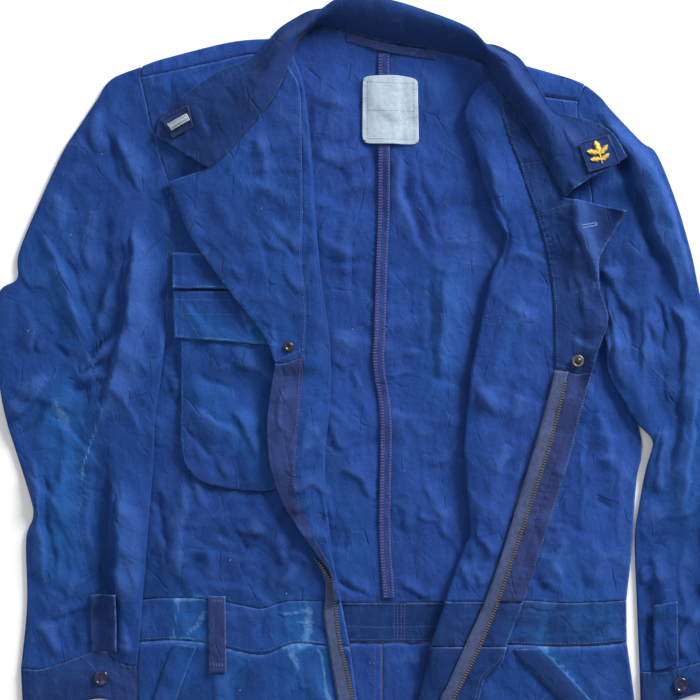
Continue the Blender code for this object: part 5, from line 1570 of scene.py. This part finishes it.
def cuff_button(side, pile):
    """A four-hole button with a raised rim, sewn on with two bars of thread."""
    node, centre = f"cuff_button_{side}", CUT[side]["button"][0]
    height = pile.under(centre, 4) + 0.1
    round_part(f"{node}_disc", "button", centre, height, PROFILES["cuff_button"], [node])
    threads = []
    for dy in (-1.5, -1.1, 1.1, 1.5):
        ends = [(centre[0] + dx, centre[1] + dy) for dx in (-2.0, 2.0)]
        threads.append(thread_row(ends, [height + 1.72] * 2, 0.6, 0.35))
    lozenges(f"{node}_thread", "dark", threads)


def snap(node, centre, pile, look):
    height = pile.under(centre, 3) + 0.05
    round_part(f"{node}_disc", "snap", centre, height, PROFILES[node], [node])
    round_part(f"{node}_rim", look, centre, height, PROFILES[f"{node}_rim"])


def satin(outline, pile, pitch, turn, wide, lift):
    """Rows of satin stitches that fill a plan outline, at an angle to the sheet's across, over a little padding."""
    outline = np.array(outline, float)
    along = np.array([math.cos(math.radians(turn)), math.sin(math.radians(turn))])
    over = np.array([-along[1], along[0]])
    rows = []
    levels = outline @ over
    for level in np.arange(levels.min() + pitch / 2, levels.max(), pitch):
        cuts = []
        for a, b in zip(outline, np.roll(outline, -1, axis=0)):
            first, second = a @ over - level, b @ over - level
            if (first < 0) != (second < 0):
                cuts.append((a + (b - a) * first / (first - second)) @ along)
        cuts.sort()
        for start, end in zip(cuts[::2], cuts[1::2]):
            ends = np.array([along * start + over * level, along * end + over * level])
            high = 0.35 + 0.02 * np.linalg.norm(ends[1] - ends[0])
            rows.append(thread_row(ends, pile.rest(ends, 2, 2) + lift, wide, high))
    return rows


def border(name, look, corners, pile, pitch, deep):
    """The overcast edge of a patch: short stitches side by side, square to its outline."""
    ring = np.array([*corners, corners[0]], float)
    line = evenly(ring, int(running(ring)[-1] / pitch))
    inward = -to_right(unit(np.gradient(line, axis=0), TINY))
    lozenges(name, look, [
        thread_row((at - into * 0.7, at + into * deep), (level - 0.1, level + 0.35), 0.95, 0.45)
        for at, into, level in zip(line, inward, pile.rest(line, 2, 2))
    ])


def leaf_outline(start, length, half_width, turn):
    """A lobed leaf from its stalk to its tip. A turn of 0 points up the sheet."""
    share = np.linspace(0, 1, 40)
    half = half_width * np.sin(np.pi * share**0.9) ** 0.45 * (0.90 + 0.10 * np.cos(2 * np.pi * 2.6 * share + 0.9))
    side = np.column_stack([half, -length * share])
    ring = np.vstack([side, (side * (-1, 1))[::-1]])
    tilt = math.radians(turn)
    spin = np.array([[math.cos(tilt), math.sin(tilt)], [-math.sin(tilt), math.cos(tilt)]])
    return ring @ spin + np.add(LEAF_CENTRE, start)


def overcast(name, node, ends, look, count, half_wide):
    """A buttonhole: a slit between two rows of close stitches, with a bar at each end."""
    start, end = np.array(ends, float)
    step = (end - start) / np.linalg.norm(end - start)
    over = np.array([step[1], -step[0]])
    spokes = [(at, over * side) for at in spaced([start, end], count) for side in (-1, 1)]
    spokes += [(end, over * math.sin(angle) + step * math.cos(angle)) for angle in np.linspace(-1.4, 1.4, 7)]
    rows = []
    for at, spoke in spokes:
        pair = np.array([at + spoke * 0.3, at + spoke * half_wide])
        rows.append(thread_row(pair, on_top(node, pair) + 0.1, 0.75, 0.4))
    lozenges(name, look, rows)


# -------------------------------------------------------------------------------------------- the suit
def lay(pile, node, plan, look, reach, creases=0.0, thickness=PLY, soften=6.0):
    """A piece that rests on what lies there already, and that later ones rest on."""
    grid = pile.laid(plan, reach, thickness, soften, creases)
    sew(node, [grid], look, thickness)
    pile.add(grid, thickness=thickness)


def strip_on(pile, node, lines, rows, columns, look, reach, seed=0):
    """A narrow piece between two lines."""
    plan = between(spaced(lines[0], rows), spaced(lines[1], rows), columns)
    creases = np.clip(crumple(plan, seed, 30, 0.5), -0.2, 1) if seed else 0.0
    lay(pile, node, plan, look, reach, creases, soften=4.0)


def block_on(pile, node, corners, columns, rows, look, reach, thickness=PLY, seed=0):
    """A piece with four corners."""
    a, b, c, d = corners
    plan = patch(spaced([a, b], columns), spaced([d, c], columns), spaced([a, d], rows), spaced([b, c], rows))
    tone = relief(plan, CREASES.get(node, ())) + (crumple(plan, seed, 24, 0.7) if seed else 0.0)
    lay(pile, node, plan, look, reach, np.maximum(tone, -0.25), thickness)


def make_back(pile, wraps):
    back = back_main(wraps["right"][0], wraps["left"][0])
    sew("back", [back, wraps["right"], wraps["left"]], "inner")
    pile.add(back, wraps["right"], wraps["left"])
    centre = np.array(LINES["centre_strip"])
    strip_on(pile, "back_seam_strip", (centre, centre + (CENTRE_STRIP_WIDE, 0)), 240, 6, "seam", 1, seed=21)
    plan = patch(*(spaced(LINES[f"label_{side}"], 36) for side in ("top", "foot", "first", "last")))
    tone = relief(plan, CREASES["label"]) + crumple(plan, 22, 10, 0.5, 40)
    lay(pile, "label", plan, "label", 2, np.clip(tone, -0.25, 1), THIN_PLY)
    row = below(back[-1, :, :2])
    plan = between(row, spaced(LINES["back_band_low"], len(row) - 1), 16).transpose(1, 0, 2)
    tone = worn(plan, "waistband_back", 23, 60, 0.9)
    band = with_height(plan, PLY / 2 + np.maximum(1.2 + tone, 0) * within(plan[..., 0], 172, 600, 30), tone)
    band[0, :, 2] = back[-1, :, 2]
    sew("waistband_back", [band], "faced")
    pile.add(band)
    return back, band


def make_seat(pile, band):
    half = band.shape[1] // 2
    for side, row, toward in (("right", band[-1, : half + 1], 1), ("left", band[-1, half:][::-1], -1)):
        leg = trouser_back(side, evenly(row, 70), toward)
        sew(f"trouser_back_{side}", [leg], "inner")
        pile.add(leg)


def make_front_low(pile, lower):
    """Bands, trouser fronts and pocket welts, which the turned fronts and the sleeves lie on or beside."""
    bands = {}
    for side, seed, look in (("right", 61, "cloth"), ("left", 62, "faced")):
        bands[side] = band_front(side, lower[side])
        top = below(bands[side][-1])
        if side == "left":
            top[:, 0] = np.linspace(top[0, 0], CUT[side]["fly_line"][0][0], len(top))
        node, leg = f"trouser_front_{side}", trouser_front(side, top, seed)
        sew(node, [leg])
        pile.add(bands[side], leg)
        welt = CUT[side]["welt_slit"], CUT[side]["welt_inner"]
        strip_on(pile, f"hip_pocket_welt_{side}", welt, 44, 8, look, 3, seed=63)
    sew("waistband_front_right", [bands["right"]])
    block_on(pile, "belt_loop", LINES["belt_loop"], 8, 34, "strip", 3, seed=64)
    return bands


def make_pocket(pile):
    top, foot = LINES["pocket_top"], LINES["pocket_foot"]
    plan = patch(spaced(top, 56), spaced(foot, 56), spaced([top[0], foot[0]], 80), spaced([top[-1], foot[-1]], 80))
    tone = worn(plan, "chest_pocket", 65, 40, 0.9)
    lay(pile, "chest_pocket", plan, "cloth", 6, np.maximum(tone, -0.9))
    block_on(pile, "pocket_flap", LINES["pocket_flap"], 54, 24, "cloth", 5, seed=66)
    block_on(pile, "name_tape", LINES["name_tape"], 54, 18, "cloth", 5, seed=67)


def make_sleeves(pile, wraps, lower):
    for side, seed, inward, fade, look in (("right", 72, 1, 640, "faced"), ("left", 73, -1, 450, "cloth")):
        upper, under = sleeve_sheets(side, wraps[side][6, :1], lower[side], seed, inward, fade)
        sew(f"sleeve_{side}", [tube(upper, under)])
        pile.add(upper)
        high, low = cuff_ring(upper, side)
        sew(f"cuff_{side}", [tube(high, low)], "faced", CUFF_PLY)
        pile.add(high, thickness=CUFF_PLY)
        block_on(pile, f"sleeve_placket_{side}", CUT[side]["placket"], 10, 28, look, 2, seed=74)


def covered_part(sheet):
    """The sheet with the columns that its facing covers thinned out, each as low as the lowest of those near it."""
    covered = range(INNER_STEPS + 4, sheet.shape[1], HIDDEN_STRIDE)
    lowest = [sheet[:, k - HIDDEN_STRIDE : k + HIDDEN_STRIDE + 1, 2].min(axis=1) for k in covered]
    thinned = np.concatenate([sheet[:, : INNER_STEPS + 1], sheet[:, covered]], axis=1)
    thinned[:, INNER_STEPS + 1 :, 2] = np.array(lowest).T
    return thinned


def left_band_end(pile, front_row):
    """The left waistband's turned end, which goes on from the left front's last row."""
    plan = between(spaced(FLAP_ROLL, 18), spaced(FLAP_EDGE, 18), 30)
    tone = crumple(plan, 83, 16, 0.9)
    flap = with_height(plan, pile.rest(plan, 10, 8) + LOFT - PLY / 2 + np.maximum(tone, -0.8), tone)
    flap[0, :, 2] = np.interp(flap[0, :, 0], front_row[:, 0], front_row[:, 2])
    flap[1:, :, 2] = np.maximum(flap[1:, :, 2], flap[0, :, 2] - 2.5)
    return flap


def left_fly(pile):
    """(lip, upper sheet) of the fly extension. The lip lies under it and turns into it along the roll."""
    roll, edge = (spaced(LINES[name], 80) + (0, SEAM) for name in ("fly_roll", "fly_edge"))
    plan = between(roll, edge, 24)
    upper = with_height(plan, pile.rest(plan, 8, 8) + LOFT + np.maximum(crumple(plan, 84, 30, 0.8), -0.8))
    return with_height(between(roll + (FLY_LIP, 0), roll, 4), PLY / 2 + OPEN_LOFT), upper


def make_turned(pile, lower, bands):
    sheets = {}
    for side, seed, look in (("right", 81, "cloth"), ("left", 82, "inner")):
        sheets[side] = front_turned(side, seed, pile)
        front = turned_sheet(lower[side], covered_part(sheets[side]))
        sew(f"front_{side}", [front], look)
    flap = left_band_end(pile, sheets["left"][-1])
    lip, fly = left_fly(pile)
    for node, lower_part, upper_part, on in (("waistband_front_left", bands["left"], flap, "waistband_back"),
                                             ("fly_left", lip, fly, "trouser_back_left")):
        sew(node, [turned_sheet(lower_part, upper_part)], "faced")
    pile.add(sheets["right"], sheets["left"], flap, fly)
    for side, look in (("right", "cloth"), ("left", "faced")):
        faced = sheets[side][:, INNER_STEPS:].copy()
        faced[..., 2] += PLY + SEAM
        facing, placket = faced[: ROWS_ABOVE + 1], faced[ROWS_ABOVE:].copy()
        placket[0] = facing[-1] * 0.7 + placket[1] * 0.3
        sew(f"facing_{side}", [facing], look)
        sew(f"front_placket_{side}", [placket], "strip")
        pile.add(facing, placket)
    return sheets


def make_collar(pile, back, wraps, sheets):
    top = spaced(LINES["loop_top"], 44)
    sew("hanger_loop", [pile.laid(between(top, top + (0, LOOP_WIDE), 4), 2, soften=3.0)], "strip")
    at = slice(INNER_STEPS, INNER_STEPS + SEAM_STEPS + 1)
    seams = {
        "right": (joined(sheets["right"][0, at][::-1], wraps["right"][[-1, 6], -1]), 80),
        "neck": (back[0, SHOULDER_STEPS : SHOULDER_STEPS + NECK_STEPS + 1], 72),
        "left": (joined(wraps["left"][[6, -1], -1], sheets["left"][0, at]), 76),
    }
    seams = {span: evenly(line[:, :3], steps) for span, (line, steps) in seams.items()}
    collar = collar_grid(collar_rows(seams, pile), pile)
    sew("collar", [collar], "faced", COLLAR_PLY)
    pile.add(collar, thickness=COLLAR_PLY)


def make_trimmings(pile):
    for side, base in (("right", "strip"), ("left", "faced")):
        node = f"patch_{side}"
        block_on(pile, node, LINES[node], 14, 14, base, 2, THIN_PLY)
        border(f"{node}_border", "dark", LINES[node], pile, 0.6, 0.6)
    bar = LINES["bar_badge"]
    block_on(pile, "bar_badge", bar, 10, 6, "cloth", 1, BAR_PLY)
    lozenges("bar_threads", "silver", satin(bar, pile, 0.55, 62, 0.9, 0.15))
    border("bar_border", "silver", bar, pile, 0.7, 1.4)
    threads = []
    for length, half_width, turn, (start,) in LEAVES:
        outline = leaf_outline(start, length, half_width, turn + LEAF_TURN)
        threads += satin(outline, pile, 0.5, turn + LEAF_TURN - 20, 0.85, 0.25)
    lozenges("leaf_threads", "gold", threads, ["leaf_badge"])
    for side in CUT:
        cuff_button(side, pile)
    snap("snap_socket", SNAP_SOCKET, pile, "snap")
    snap("snap_stud", SNAP_STUD, pile, "ring")
    stitch_rows()
    zip_teeth()
    overcast("buttonhole", "facing_left", [(580, 228), (594, 225)], "buttonhole", 26, 2.3)
    rng = np.random.default_rng(5)
    specks = []
    for node, places in LINT:
        for place in places:
            ends = np.array([place, np.add(place, rng.uniform(-1.6, 1.6, 2))])
            specks.append(thread_row(ends, on_top(node, ends) + 0.15, 0.7, 0.25))
    lozenges("lint_specks", "lint", specks)
    for node in ("zip_slider", "zip_pull"):
        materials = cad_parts[node].data.materials
        materials.clear()
        materials.append(LOOKS["brass"])


def make_suit():
    pile = Pile()
    lower = {"right": front_lower("right", 12), "left": front_lower("left", 13)}
    wraps = {side: shoulder_wrap(side, sheet[0]) for side, sheet in lower.items()}
    tapes = {side: (LINES[f"tape_edge_{side}"], LINES[f"teeth_{side}"]) for side in CUT}
    back, band = make_back(pile, wraps)
    make_seat(pile, band)
    pile.add(lower["right"], lower["left"])
    bands = make_front_low(pile, lower)
    make_pocket(pile)
    strip_on(pile, "zip_tape_right", tapes["right"], 150, 5, "tape", 2)
    make_sleeves(pile, wraps, lower)
    sheets = make_turned(pile, lower, bands)
    strip_on(pile, "zip_tape_left", tapes["left"], 220, 5, "tape", 2)
    make_collar(pile, back, wraps, sheets)
    make_trimmings(pile)


# ------------------------------------------------------------------------------------------- the stage
SURFACE_HALF, SURFACE_DOWN = 6.0, 0.0003  # metres
AMBIENT, AMBIENT_STRENGTH = (0.96, 0.98, 1.0, 1), 0.46
LAMPS = (("key", (2.5, 3.0, 1.6), 290, 1.3), ("fill", (-1.4, 1.6, 2.6), 20, 2.0))  # name, place, watts, width
LIT_MIDDLE = (-0.02, 0.5, 0)
CAMERA_HIGH, VIEW_WIDE, VIEW_MIDDLE = 2000.0, 700.0, (350.0, 350.0)


def make_stage():
    """A pale surface, soft light from above with a weaker one from the upper right, and the camera overhead."""
    mesh = bpy.data.meshes.new("surface")
    corners = [(a * SURFACE_HALF, b * SURFACE_HALF, 0) for a, b in ((-1, -1), (1, -1), (1, 1), (-1, 1))]
    mesh.from_pydata(corners, [], [(0, 1, 2, 3)])
    paper = Recipe("pale_surface")
    mesh.materials.append(paper.finish(paper.mix(paper.noise(3), (0.86, 0.86, 0.87), (0.88, 0.88, 0.885)), 0.9))
    floor = placed("surface", mesh)
    floor.location.z = -SURFACE_DOWN
    scene = bpy.context.scene
    scene.world = bpy.data.worlds.new("soft_room")
    scene.world.use_nodes = True
    background = scene.world.node_tree.nodes["Background"].inputs
    background["Color"].default_value, background["Strength"].default_value = AMBIENT, AMBIENT_STRENGTH
    for name, place, watts, wide in LAMPS:
        light = bpy.data.lights.new(name, "AREA")
        light.energy, light.size = watts, wide
        lamp = placed(name, light)
        lamp.location = place
        lamp.rotation_euler = (Vector(LIT_MIDDLE) - Vector(place)).to_track_quat("-Z", "Y").to_euler()
    scene.view_settings.view_transform = "Standard"
    camera = bpy.data.cameras.new("overhead")
    camera.sensor_width = 36.0
    camera.lens = camera.sensor_width * CAMERA_HIGH / VIEW_WIDE
    scene.camera = placed("overhead", camera)
    scene.camera.location = in_metres((*VIEW_MIDDLE, CAMERA_HIGH))


make_suit()
make_stage()
